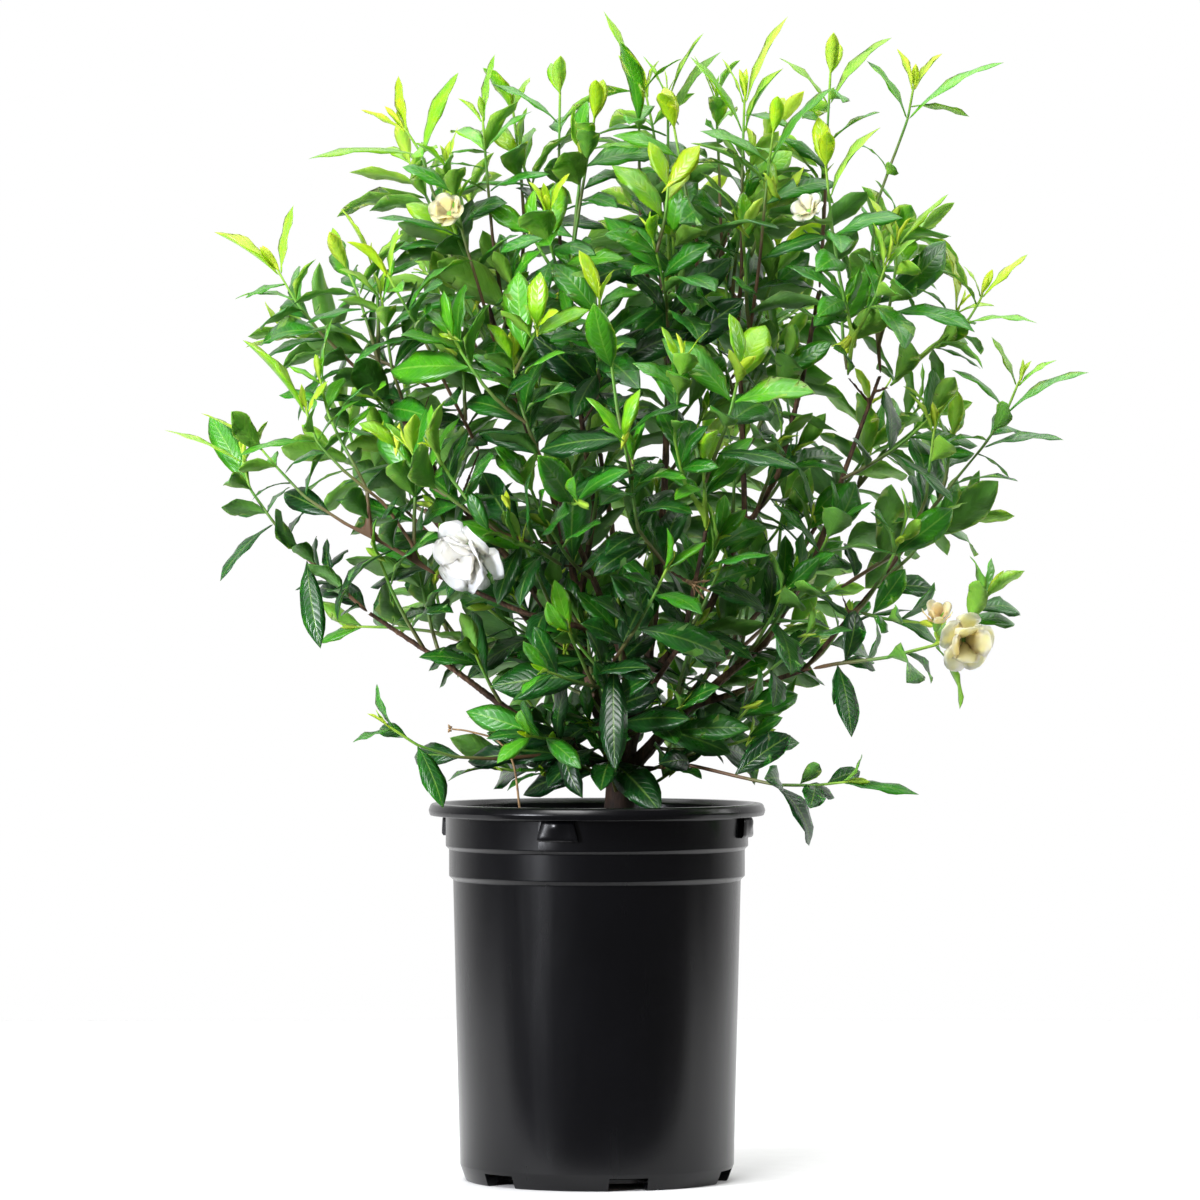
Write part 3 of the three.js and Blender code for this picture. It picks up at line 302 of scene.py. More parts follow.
# A dry stalk that leans out of the mix, and the dry calyx of a fallen flower
DRY_STALK = (
    (-56, -66, 262),
    (-60, -74, 296),
    (-65, -80, 330),
    (-77, -84, 347),
    (-98, -86, 354),
    (-112, -87, 356),
)
DRY_STALK_RADII = (1.035, 0.66)
DRY_STALK_STEPS = 6
DRY_STALK_LOBE = 4
DRY_CALYX_FOOT = (70, -102, 470)
DRY_CALYX_FACE = (0.55, -0.75, -0.25)
DRY_CALYX_LOBE = 16
DRY_TINT = 0.5
DRY_SEED = 41

# The camera of the photograph, which looks level along +Y
CAMERA_DISTANCE = 4800
CAMERA_X = 2.4
CAMERA_HEIGHT = 455.7
CAMERA_LENS = 183
CAMERA_SENSOR = 36

# The paper ends this far before the middle of the can, and the room before it is dark
FLOOR_FRONT = 190

# The lamps, in metres: where each hangs, what it points at, its width and height, and its colour
LAMPS = {
    "key": ((-0.8, -1.8, 2.4), (0, 0, 0.5), (1.3, 0.9), "#ffffff"),
    "strip": ((-1.4, -1.35, 0.6), (0, 0, 0.4), (0.4, 0.8), "#f6f8ff"),
    "side": ((1.8, 0.1, 1.2), (0, 0, 0.5), (0.7, 1.0), "#ffffff"),
    "top": ((0.2, 0.5, 2.8), (0.2, 0.5, 0), (2.6, 2.6), "#ffffff"),
}


# Small helpers


def linear(colour):
    """The linear red, green, blue and alpha of an sRGB hex colour."""
    parts = [int(colour[i : i + 2], 16) / 255 for i in (1, 3, 5)]
    return tuple(p / 12.92 if p <= 0.04045 else ((p + 0.055) / 1.055) ** 2.4 for p in parts) + (1.0,)


def add_node(tree, kind, inputs=None, **settings):
    """Adds a node with its settings; each input is a socket to link or a value to set."""
    made = tree.nodes.new(kind)
    for key, value in settings.items():
        setattr(made, key, value)
    for key, value in (inputs or {}).items():
        if isinstance(value, bpy.types.NodeSocket):
            tree.links.new(value, made.inputs[key])
        else:
            made.inputs[key].default_value = value
    return made


def set_ramp(ramp_node, stops):
    """Sets the stops of a colour ramp from rows of a place and a colour, as hex or from a setting."""
    elements = ramp_node.color_ramp.elements
    elements.remove(elements[0])
    for row, (position, colour) in enumerate(stops):
        element = elements.new(position) if row else elements[0]
        element.position = position
        element.color = linear(colour) if isinstance(colour, str) else colour


def per_metre(width):
    """How many grains of this width in millimetres lie in a metre, which is a pattern's scale."""
    return 1 / (width * MM)


def new_material(name):
    """An empty node material and its tree."""
    material = bpy.data.materials.new(name)
    material.use_nodes = True
    material.node_tree.nodes.clear()
    return material, material.node_tree


def finish_material(material, inputs):
    """Ends a material in its shader, each of whose inputs is a socket to link or a value to set."""
    shader = add_node(material.node_tree, "ShaderNodeBsdfPrincipled", inputs)
    add_node(material.node_tree, "ShaderNodeOutputMaterial", {"Surface": shader.outputs[0]})
    return material


def new_object(name, mesh):
    """An object of the scene that holds a mesh."""
    piece = bpy.data.objects.new(name, mesh)
    bpy.context.scene.collection.objects.link(piece)
    return piece


def mesh_from(name, vertices, faces, edges=()):
    """A mesh of the given points, faces and loose edges."""
    mesh = bpy.data.meshes.new(name)
    mesh.from_pydata([tuple(v) for v in vertices], edges, faces)
    mesh.update()
    return mesh


def add_attributes(mesh, attributes):
    """Gives the points of a mesh their attributes, as rows of numbers or of vectors."""
    for key, values in attributes.items():
        values = np.asarray(values, dtype=np.float32)
        kind, slot = ("FLOAT_VECTOR", "vector") if values.ndim == 2 else ("FLOAT", "value")
        mesh.attributes.new(key, kind, "POINT").data.foreach_set(slot, values.ravel())


def run_tree(piece, tree, values):
    """Runs a geometry tree on a piece and keeps its result as a plain mesh."""
    modifier = piece.modifiers.new("Shape", "NODES")
    modifier.node_group = tree
    for item in tree.interface.items_tree:
        if item.in_out == "INPUT" and item.name in values:
            modifier[item.identifier] = values[item.name]
    bake_modifiers(piece)


def bake_modifiers(piece):
    """Keeps what a piece's modifiers give as its plain mesh, and drops the modifiers."""
    graph = bpy.context.evaluated_depsgraph_get()
    mesh = bpy.data.meshes.new_from_object(piece.evaluated_get(graph), depsgraph=graph)
    piece.modifiers.clear()
    piece.data = mesh
    mesh.name = piece.name


def shade_smooth(mesh):
    """Shades every face of a mesh smooth."""
    mesh.polygons.foreach_set("use_smooth", [True] * len(mesh.polygons))


def new_tree(name, sockets):
    """A geometry tree with its own inputs, and its input and output nodes."""
    tree = bpy.data.node_groups.new(name, "GeometryNodeTree")
    tree.interface.new_socket("Geometry", in_out="OUTPUT", socket_type="NodeSocketGeometry")
    tree.interface.new_socket("Geometry", in_out="INPUT", socket_type="NodeSocketGeometry")
    for label, kind, default in sockets:
        socket = tree.interface.new_socket(label, in_out="INPUT", socket_type=kind)
        if default is not None:
            socket.default_value = default
    return tree, add_node(tree, "NodeGroupInput")


def finish_tree(tree, geometry):
    """Ends a geometry tree in its output."""
    add_node(tree, "NodeGroupOutput", {0: geometry})
    return tree


def dress(piece, slot, *nodes):
    """Hides the solids that a finished piece stands for and hangs it on the root body; its finish is not
    used.
    """
    if nodes:
        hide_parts(*nodes)
    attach(piece, "root")


def place(point):
    """A place in the frame from its millimetres."""
    return Vector(point) * MM


# Settings


def colour_setting(name, description, colour):
    """A colour that a user may change, whose default is an sRGB hex value."""
    return bpy.props.FloatVectorProperty(
        name=name, description=description, default=linear(colour), size=4, min=0, max=1, subtype="COLOR"
    )


class CanSettings(bpy.types.PropertyGroup):
    """What can be changed on the can"""

    spokes: bpy.props.IntProperty(name="Sides", description="Faces round the can", default=144, min=24)
    notches: bpy.props.IntProperty(
        name="Drain notches", description="Notches round the foot", default=6, min=0
    )
    lugs: bpy.props.IntProperty(name="Lugs", description="Blocks under the lip", default=4, min=0)
    colour: colour_setting("Colour", "Colour of the plastic", "#0c0c0f")
    roughness: bpy.props.FloatProperty(
        name="Roughness", description="How blurred its gloss is", default=0.25, subtype="FACTOR", min=0, max=1
    )


class MixSettings(bpy.types.PropertyGroup):
    """What can be changed on the potting mix"""

    chips: bpy.props.IntProperty(
        name="Chips", description="Bark chips that lie on the mix", default=1300, min=0
    )
    chip_length: bpy.props.FloatProperty(
        name="Chip length", description="Length of a large chip", default=11 * MM, unit="LENGTH"
    )
    colour: colour_setting("Colour", "Colour of the paler chips", "#543626")
    seed: bpy.props.IntProperty(name="Seed", description="Which random layout the chips take", default=11)


class WoodSettings(bpy.types.PropertyGroup):
    """What can be changed on the trunk and limbs"""

    voxel: bpy.props.FloatProperty(
        name="Detail", description="Size of the faces of the wood", default=1.35 * MM, unit="LENGTH"
    )
    ridge: bpy.props.FloatProperty(
        name="Ridge", description="Height of the ridges in the bark", default=0.55 * MM, unit="LENGTH"
    )
    colour: colour_setting("Colour", "Colour of the dry bark", "#6b4d38")


class FoliageSettings(bpy.types.PropertyGroup):
    """What can be changed on the leaves"""

    sprigs: bpy.props.IntProperty(
        name="Sprigs", description="Short shoots tried inside the crown", default=520, min=0
    )
    fillers: bpy.props.IntProperty(
        name="Fillers", description="Leaves tried along the older stems", default=3000, min=0
    )
    ripple: bpy.props.FloatProperty(
        name="Ripple", description="How far the edges of a leaf wave, over its half width", default=0.13
    )
    vein_step: bpy.props.FloatProperty(
        name="Vein step", description="Distance between side veins", default=6.2 * MM, unit="LENGTH"
    )
    young: colour_setting("Young", "Colour of the youngest leaves", "#c2d824")
    old: colour_setting("Old", "Colour of the oldest leaves", "#0c3417")
    seed: bpy.props.IntProperty(
        name="Seed", description="Which random layout the added leaves take", default=7
    )


class BloomSettings(bpy.types.PropertyGroup):
    """What can be changed on the flowers"""

    ripple: bpy.props.FloatProperty(
        name="Ripple", description="How far the edges of a petal wave, over its half width", default=0.14
    )
    fresh: colour_setting("Fresh", "Colour of a flower that has just opened", "#fffdf4")
    withered: colour_setting("Withered", "Colour of a flower that withers", "#c48f5e")
    seed: bpy.props.IntProperty(name="Seed", description="Which random turn each petal takes", default=23)


class StageSettings(bpy.types.PropertyGroup):
    """What can be changed on the floor, the room and the lamps"""

    floor: bpy.props.FloatProperty(name="Floor", description="Side of the floor", default=2.0, unit="LENGTH")
    room: bpy.props.FloatProperty(
        name="Room", description="Light of the room before the plant", default=0.12, min=0
    )
    key: bpy.props.FloatProperty(
        name="Key", description="Power of the lamp high in front", default=60.0, unit="POWER"
    )
    strip: bpy.props.FloatProperty(
        name="Strip", description="Power of the low lamp on the left", default=44.0, unit="POWER"
    )
    side: bpy.props.FloatProperty(
        name="Side", description="Power of the lamp on the right", default=15.0, unit="POWER"
    )
    top: bpy.props.FloatProperty(
        name="Top", description="Power of the lamp overhead", default=68.0, unit="POWER"
    )


# Materials


def black_polypropylene(settings):
    """Injection-moulded black polypropylene: satin skin with faint scuffs and a fine grain."""
    material, tree = new_material("black polypropylene")
    where = add_node(tree, "ShaderNodeTexCoord").outputs["Object"]
    cloud = add_node(tree, "ShaderNodeTexNoise", {"Vector": where, "Scale": per_metre(71.4), "Detail": 4.0})
    colour = add_node(tree, "ShaderNodeValToRGB", {"Fac": cloud.outputs["Fac"]})
    set_ramp(colour, ((0.3, "#070709"), (0.75, settings.colour)))
    # the scuffs run up the wall
    scuffs = (per_metre(14.3), per_metre(14.3), per_metre(111))
    drawn = add_node(tree, "ShaderNodeMapping", {"Vector": where, "Scale": scuffs})
    scuff = add_node(tree, "ShaderNodeTexNoise", {"Vector": drawn.outputs[0], "Scale": 1.0, "Detail": 6.0})
    gloss = add_node(
        tree,
        "ShaderNodeMapRange",
        {
            "Value": scuff.outputs["Fac"],
            "From Min": 0.3,
            "From Max": 0.7,
            "To Min": settings.roughness - 0.03,
            "To Max": settings.roughness + 0.03,
        },
    )
    # the moulded grain is about 0.1 mm wide, too fine to show, and is drawn coarser
    grain = add_node(tree, "ShaderNodeTexNoise", {"Vector": where, "Scale": per_metre(0.714), "Detail": 2.0})
    bump = add_node(
        tree, "ShaderNodeBump", {"Height": grain.outputs["Fac"], "Strength": 0.06, "Distance": 0.2 * MM}
    )
    look = {
        "Base Color": colour.outputs[0],
        "Roughness": gloss.outputs[0],
        "Normal": bump.outputs[0],
        "IOR": 1.49,
        "Specular IOR Level": 0.34,
    }
    return finish_material(material, look)


def ground_bark(settings):
    """Composted bark: fibrous chips, dull, from near black to red brown."""
    material, tree = new_material("composted bark")
    where = add_node(tree, "ShaderNodeTexCoord").outputs["Object"]
    tone = add_node(tree, "ShaderNodeTexVoronoi", {"Vector": where, "Scale": per_metre(8.33)})
    fibre = add_node(tree, "ShaderNodeTexNoise", {"Vector": where, "Scale": per_metre(1.43), "Detail": 4.0})
    mixed = add_node(
        tree, "ShaderNodeMath", {0: tone.outputs["Color"], 1: fibre.outputs["Fac"]}, operation="MULTIPLY"
    )
    colour = add_node(tree, "ShaderNodeValToRGB", {"Fac": mixed.outputs[0]})
    set_ramp(colour, ((0.0, "#17100c"), (0.25, "#33221a"), (0.45, settings.colour), (0.7, "#7a5640")))
    bump = add_node(
        tree, "ShaderNodeBump", {"Height": fibre.outputs["Fac"], "Strength": 0.6, "Distance": 0.6 * MM}
    )
    look = {"Base Color": colour.outputs[0], "Roughness": 0.9, "Normal": bump.outputs[0]}
    return finish_material(material, look)


def living_bark(settings):
    """Thin bark of a shrub: grey brown, cracked lengthwise, drawn darker near the mix as painted shade."""
    material, tree = new_material("shrub bark")
    where = add_node(tree, "ShaderNodeTexCoord").outputs["Object"]
    long = add_node(tree, "ShaderNodeMapping", {"Vector": where, "Scale": (1.0, 1.0, 0.28)})
    crack = add_node(
        tree, "ShaderNodeTexNoise", {"Vector": long.outputs[0], "Scale": per_metre(2.38), "Detail": 5.0}
    )
    patch = add_node(tree, "ShaderNodeTexNoise", {"Vector": where, "Scale": per_metre(25), "Detail": 3.0})
    blend = add_node(
        tree, "ShaderNodeMath", {0: crack.outputs["Fac"], 1: patch.outputs["Fac"]}, operation="MULTIPLY"
    )
    # painted shade: the bark is drawn darker from 390 mm down to 270 mm, near the mix
    height = add_node(tree, "ShaderNodeSeparateXYZ", {"Vector": where})
    painted_shade = add_node(
        tree,
        "ShaderNodeMapRange",
        {
            "Value": height.outputs["Z"],
            "From Min": 270 * MM,
            "From Max": 390 * MM,
            "To Min": 0.3,
            "To Max": 1.0,
        },
    )
    shade = add_node(tree, "ShaderNodeMath", {0: blend.outputs[0], 1: painted_shade.outputs[0]}, operation="MULTIPLY")
    colour = add_node(tree, "ShaderNodeValToRGB", {"Fac": shade.outputs[0]})
    set_ramp(colour, ((0.08, "#21160f"), (0.2, "#432e21"), (0.32, settings.colour), (0.5, "#8f7154")))
    bump = add_node(
        tree, "ShaderNodeBump", {"Height": crack.outputs["Fac"], "Strength": 0.7, "Distance": 0.5 * MM}
    )
    look = {"Base Color": colour.outputs[0], "Roughness": 0.78, "Normal": bump.outputs[0]}
    return finish_material(material, look)


def green_stem():
    """Young stem: smooth green skin that turns brown with age."""
    material, tree = new_material("green stem")
    where = add_node(tree, "ShaderNodeTexCoord").outputs["Object"]
    tint = add_node(tree, "ShaderNodeAttribute", attribute_name="tint")
    blot = add_node(tree, "ShaderNodeTexNoise", {"Vector": where, "Scale": per_metre(3.85), "Detail": 3.0})
    shifted = add_node(
        tree, "ShaderNodeMath", {0: blot.outputs["Fac"], 1: 0.35, 2: -0.17}, operation="MULTIPLY_ADD"
    )
    total = add_node(tree, "ShaderNodeMath", {0: tint.outputs["Fac"], 1: shifted.outputs[0]}, operation="ADD")
    colour = add_node(tree, "ShaderNodeValToRGB", {"Fac": total.outputs[0]})
    set_ramp(colour, ((0.05, "#9fc63a"), (0.35, "#5f9a35"), (0.6, "#66703a"), (0.85, "#6b4f38")))
    bump = add_node(
        tree, "ShaderNodeBump", {"Height": blot.outputs["Fac"], "Strength": 0.35, "Distance": 0.3 * MM}
    )
    look = {"Base Color": colour.outputs[0], "Roughness": 0.5, "Normal": bump.outputs[0]}
    return finish_material(material, look)


def leaf_skin(settings):
    """Gardenia leaf: waxed and quilted between its veins above, paler and dull below."""
    material, tree = new_material("gardenia leaf")
    read = {
        key: add_node(tree, "ShaderNodeAttribute", attribute_name=key).outputs["Fac"]
        for key in ("t", "v", "length", "width", "tint", "tone", "under")
    }
    rows = (
        # side veins leave the rib at a slant and bend to the tip
        ("along", "MULTIPLY", "t", "length"),
        ("off", "ABSOLUTE", "v"),
        ("reach", "MULTIPLY", "off", "width"),
        ("back", "MULTIPLY", "reach", 0.42),
        ("square", "MULTIPLY", "off", "off"),
        ("curve", "MULTIPLY", "square", "back"),
        ("start", "SUBTRACT", "along", "back"),
        ("slanted", "SUBTRACT", "start", "curve"),
        ("steps", "DIVIDE", "slanted", settings.vein_step),
        ("part", "FRACT", "steps"),
        ("centred", "SUBTRACT", "part", 0.5),
        ("apart", "ABSOLUTE", "centred"),
        ("twice", "MULTIPLY", "apart", 2.0),
        ("sharp", "POWER", "twice", 5.0),
        ("fade", "SUBTRACT", 1.0, "square"),
        ("vein", "MULTIPLY", "sharp", "fade"),
        # the skin swells between them, and sinks along them and along the rib
        ("soft", "POWER", "twice", 2.0),
        ("pillow", "SUBTRACT", 1.0, "soft"),
        ("near", "MULTIPLY", "off", 11.0),
        ("middle", "SUBTRACT", 1.0, "near"),
        ("rib", "MAXIMUM", "middle", 0.0),
        ("lines", "MAXIMUM", "vein", "rib"),
        ("sunk", "MULTIPLY", "lines", -0.7),
        ("height", "ADD", "pillow", "sunk"),
        ("pale", "MULTIPLY", "vein", 0.05),
        ("ribbed", "MULTIPLY_ADD", "rib", 0.34, "pale"),
        ("matte", "MULTIPLY", "under", 0.30),
    )
    for name, operation, *terms in rows:
        inputs = {i: read.get(term, term) for i, term in enumerate(terms)}
        read[name] = add_node(tree, "ShaderNodeMath", inputs, operation=operation).outputs[0]
    where = add_node(tree, "ShaderNodeTexCoord").outputs["Object"]
    blotch = add_node(tree, "ShaderNodeTexNoise", {"Vector": where, "Scale": per_metre(11.1), "Detail": 3.0})
    change = add_node(
        tree, "ShaderNodeMath", {0: blotch.outputs["Fac"], 1: 0.3, 2: -0.15}, operation="MULTIPLY_ADD"
    )
    shade = add_node(tree, "ShaderNodeMath", {0: read["tint"], 1: change.outputs[0]}, operation="ADD")
    upper = add_node(tree, "ShaderNodeValToRGB", {"Fac": shade.outputs[0]})
    set_ramp(
        upper,
        (
            (0.0, settings.young),
            (0.16, "#95c81e"),
            (0.34, "#56a419"),
            (0.56, "#2f8018"),
            (0.78, "#185318"),
            (1.0, settings.old),
        ),
    )
    lower = add_node(tree, "ShaderNodeValToRGB", {"Fac": shade.outputs[0]})
    set_ramp(lower, ((0.0, "#d2e640"), (0.3, "#8fc23c"), (0.6, "#66a038"), (1.0, "#427636")))
    veined = add_node(
        tree,
        "ShaderNodeMix",
        {"Factor": read["ribbed"], 6: upper.outputs[0], 7: linear("#a3cf5a")},
        data_type="RGBA",
    )
    skin = add_node(
        tree,
        "ShaderNodeMix",
        {"Factor": read["under"], 6: veined.outputs[2], 7: lower.outputs[0]},
        data_type="RGBA",
    )
    toned = add_node(tree, "ShaderNodeHueSaturation", {"Color": skin.outputs[2], "Value": read["tone"]})
    rough = add_node(
        tree,
        "ShaderNodeMapRange",
        {"Value": blotch.outputs["Fac"], "From Min": 0.3, "From Max": 0.7, "To Min": 0.24, "To Max": 0.38},
    )
    roughness = add_node(tree, "ShaderNodeMath", {0: rough.outputs[0], 1: read["matte"]}, operation="ADD")
    bump = add_node(
        tree, "ShaderNodeBump", {"Height": read["height"], "Strength": 0.55, "Distance": 0.22 * MM}
    )
    look = {
        "Base Color": toned.outputs[0],
        "Roughness": roughness.outputs[0],
        "Normal": bump.outputs[0],
        "IOR": 1.5,
        "Specular IOR Level": 0.5,
        "Subsurface Weight": 0.35,
        "Subsurface Radius": (0.8, 1.0, 0.3),
        "Subsurface Scale": 1.5 * MM,
    }
    return finish_material(material, look)


def petal_skin(settings):
    """Gardenia petal: thick matte white wax that turns cream and then tan as it ages."""
    material, tree = new_material("gardenia petal")
    tint = add_node(tree, "ShaderNodeAttribute", attribute_name="tint")
    along = add_node(tree, "ShaderNodeAttribute", attribute_name="t")
    where = add_node(tree, "ShaderNodeTexCoord").outputs["Object"]
    blotch = add_node(tree, "ShaderNodeTexNoise", {"Vector": where, "Scale": per_metre(6.25), "Detail": 3.0})
    base = add_node(
        tree, "ShaderNodeMath", {0: along.outputs["Fac"], 1: -0.16, 2: 0.12}, operation="MULTIPLY_ADD"
    )
    patch = add_node(
        tree,
        "ShaderNodeMath",
        {0: blotch.outputs["Fac"], 1: 0.2, 2: base.outputs[0]},
        operation="MULTIPLY_ADD",
    )
    total = add_node(tree, "ShaderNodeMath", {0: tint.outputs["Fac"], 1: patch.outputs[0]}, operation="ADD")
    colour = add_node(tree, "ShaderNodeValToRGB", {"Fac": total.outputs[0]})
    set_ramp(
        colour,
        (
            (0.16, settings.fresh),
            (0.36, "#fbf3c4"),
            (0.6, "#f9e698"),
            (0.85, "#e8bd84"),
            (1.0, settings.withered),
        ),
    )
    bump = add_node(
        tree, "ShaderNodeBump", {"Height": blotch.outputs["Fac"], "Strength": 0.15, "Distance": 0.5 * MM}
    )
    look = {
        "Base Color": colour.outputs[0],
        "Roughness": 0.5,
        "Normal": bump.outputs[0],
        "Subsurface Weight": 0.85,
        "Subsurface Radius": (1.0, 0.95, 0.8),
        "Subsurface Scale": 6 * MM,
    }
    return finish_material(material, look)


def white_paper():
    """Photographer's paper roll: matte and near white, with the faintest mottle."""
    material, tree = new_material("white paper")
    where = add_node(tree, "ShaderNodeTexCoord").outputs["Object"]
    mottle = add_node(tree, "ShaderNodeTexNoise", {"Vector": where, "Scale": per_metre(22)})
    tone = add_node(tree, "ShaderNodeValToRGB", {"Fac": mottle.outputs["Fac"]})
    set_ramp(tone, ((0.3, "#f6f6f6"), (0.7, "#fafafa")))
    return finish_material(material, {"Base Color": tone.outputs[0], "Roughness": 0.9})


def dry_straw():
    """Dead stalk: dull tan straw, mottled darker and paler."""
    material, tree = new_material("dry straw")
    where = add_node(tree, "ShaderNodeTexCoord").outputs["Object"]
    cloud = add_node(tree, "ShaderNodeTexNoise", {"Vector": where, "Scale": per_metre(5.56), "Detail": 3.0})
    colour = add_node(tree, "ShaderNodeValToRGB", {"Fac": cloud.outputs["Fac"]})
    set_ramp(colour, ((0.3, "#6a5642"), (0.6, "#ad8a60"), (0.8, "#d6b886")))
    return finish_material(material, {"Base Color": colour.outputs[0], "Roughness": 0.85})


# Geometry trees


def blade_template(name, rings, material):
    """A flat leaf or petal: one closed skin, with the shares along and across it as attributes."""
    rows = [(0.0, 0.0, 0.0, 0.0)]
    tops = []
    unders = []
    for t, wide, thick in rings:
        top = range(len(rows), len(rows) + len(LEAF_ACROSS))
        rows.extend((t, v, wide, 0.5 * thick if abs(v) < 1 else 0.0) for v in LEAF_ACROSS)
        tops.append(top)
        unders.append((top[0], len(rows), top[-1]))
        rows.append((t, 0.0, wide, -0.5 * thick))
    tip = len(rows)
    rows.append((1.0, 0.0, 0.0, 0.0))
    faces = []
    below = []
    for rows_of_skin, side in ((tops, 0.0), (unders, 1.0)):
        first, last = rows_of_skin[0], rows_of_skin[-1]
        for low, high in zip(rows_of_skin, rows_of_skin[1:]):
            faces.extend((low[k], high[k], high[k + 1], low[k + 1]) for k in range(len(low) - 1))
        faces.extend((0, first[k], first[k + 1]) for k in range(len(first) - 1))
        faces.extend((tip, last[k + 1], last[k]) for k in range(len(last) - 1))
        below.extend([side] * (len(faces) - len(below)))
    mesh = mesh_from(name, [(t, v * wide, lift) for t, v, wide, lift in rows], faces)
    add_attributes(mesh, dict(zip(("t", "v", "wide", "lift"), zip(*rows))))
    mesh.attributes.new("under", "FLOAT", "FACE").data.foreach_set("value", below)
    mesh.materials.append(material)
    shade_smooth(mesh)
    # the faces turn outwards before the tree bends them
    shell = bmesh.new()
    shell.from_mesh(mesh)
    bmesh.ops.recalc_face_normals(shell, faces=shell.faces)
    shell.to_mesh(mesh)
    shell.free()
    return bpy.data.objects.new(name, mesh)


# How a tree bends a blade: each row names a value, its operation and what goes into it
BEND_ROWS = (
    ("half_bend", "MULTIPLY", "bend", 0.5),
    ("offset", "SUBTRACT", "t", 0.5),
    ("angle", "MULTIPLY", "bend", "offset"),
    ("sin_half", "SINE", "half_bend"),
    ("cos_half", "COSINE", "half_bend"),
    ("sin_angle", "SINE", "angle"),
    ("cos_angle", "COSINE", "angle"),
    ("chord", "MULTIPLY", "sin_half", 2.0),
    ("arc", "DIVIDE", "length", "chord"),
    ("ahead", "ADD", "sin_angle", "sin_half"),
    ("forward", "MULTIPLY", "arc", "ahead"),
    ("over", "SUBTRACT", "cos_angle", "cos_half"),
    ("rise", "MULTIPLY", "arc", "over"),
    ("half_width", "MULTIPLY", "width", 0.5),
    ("half", "MULTIPLY", "half_width", "wide"),
    ("off", "ABSOLUTE", "v"),
    ("reach", "MULTIPLY", "v", "half"),
    ("reach_off", "MULTIPLY", "off", "half"),
    ("cos_fold", "COSINE", "fold"),
    ("sin_fold", "SINE", "fold"),
    ("aside", "MULTIPLY", "reach", "cos_fold"),
    ("tilt", "MULTIPLY", "reach_off", "sin_fold"),
    ("square", "MULTIPLY", "off", "reach_off"),
    ("droop", "MULTIPLY", "square", "curl"),
    ("turns", "MULTIPLY_ADD", "t", RIPPLES, "phase"),
    ("sided", "MULTIPLY", "v", 0.17),
    ("run", "ADD", "turns", "sided"),
    ("radians", "MULTIPLY", "run", 2 * math.pi),
    ("swing", "SINE", "radians"),
    ("wave", "MULTIPLY", "swing", "ripple"),
    ("waved", "MULTIPLY", "wave", "square"),
    ("thick", "MULTIPLY", "lift", MM),
    ("level", "SUBTRACT", "tilt", "droop"),
    ("edge", "ADD", "level", "waved"),
    ("height", "ADD", "edge", "thick"),
    ("slid", "MULTIPLY", "height", "sin_angle"),
    ("by_way", "ADD", "forward", "slid"),
    ("raised", "MULTIPLY", "height", "cos_angle"),
    ("by_face", "ADD", "rise", "raised"),
)
# The attributes that these rows read, each a number on a point or on the leaf itself
BLADE_FLOATS = ("t", "v", "wide", "lift", "length", "width", "bend", "fold", "curl", "phase")


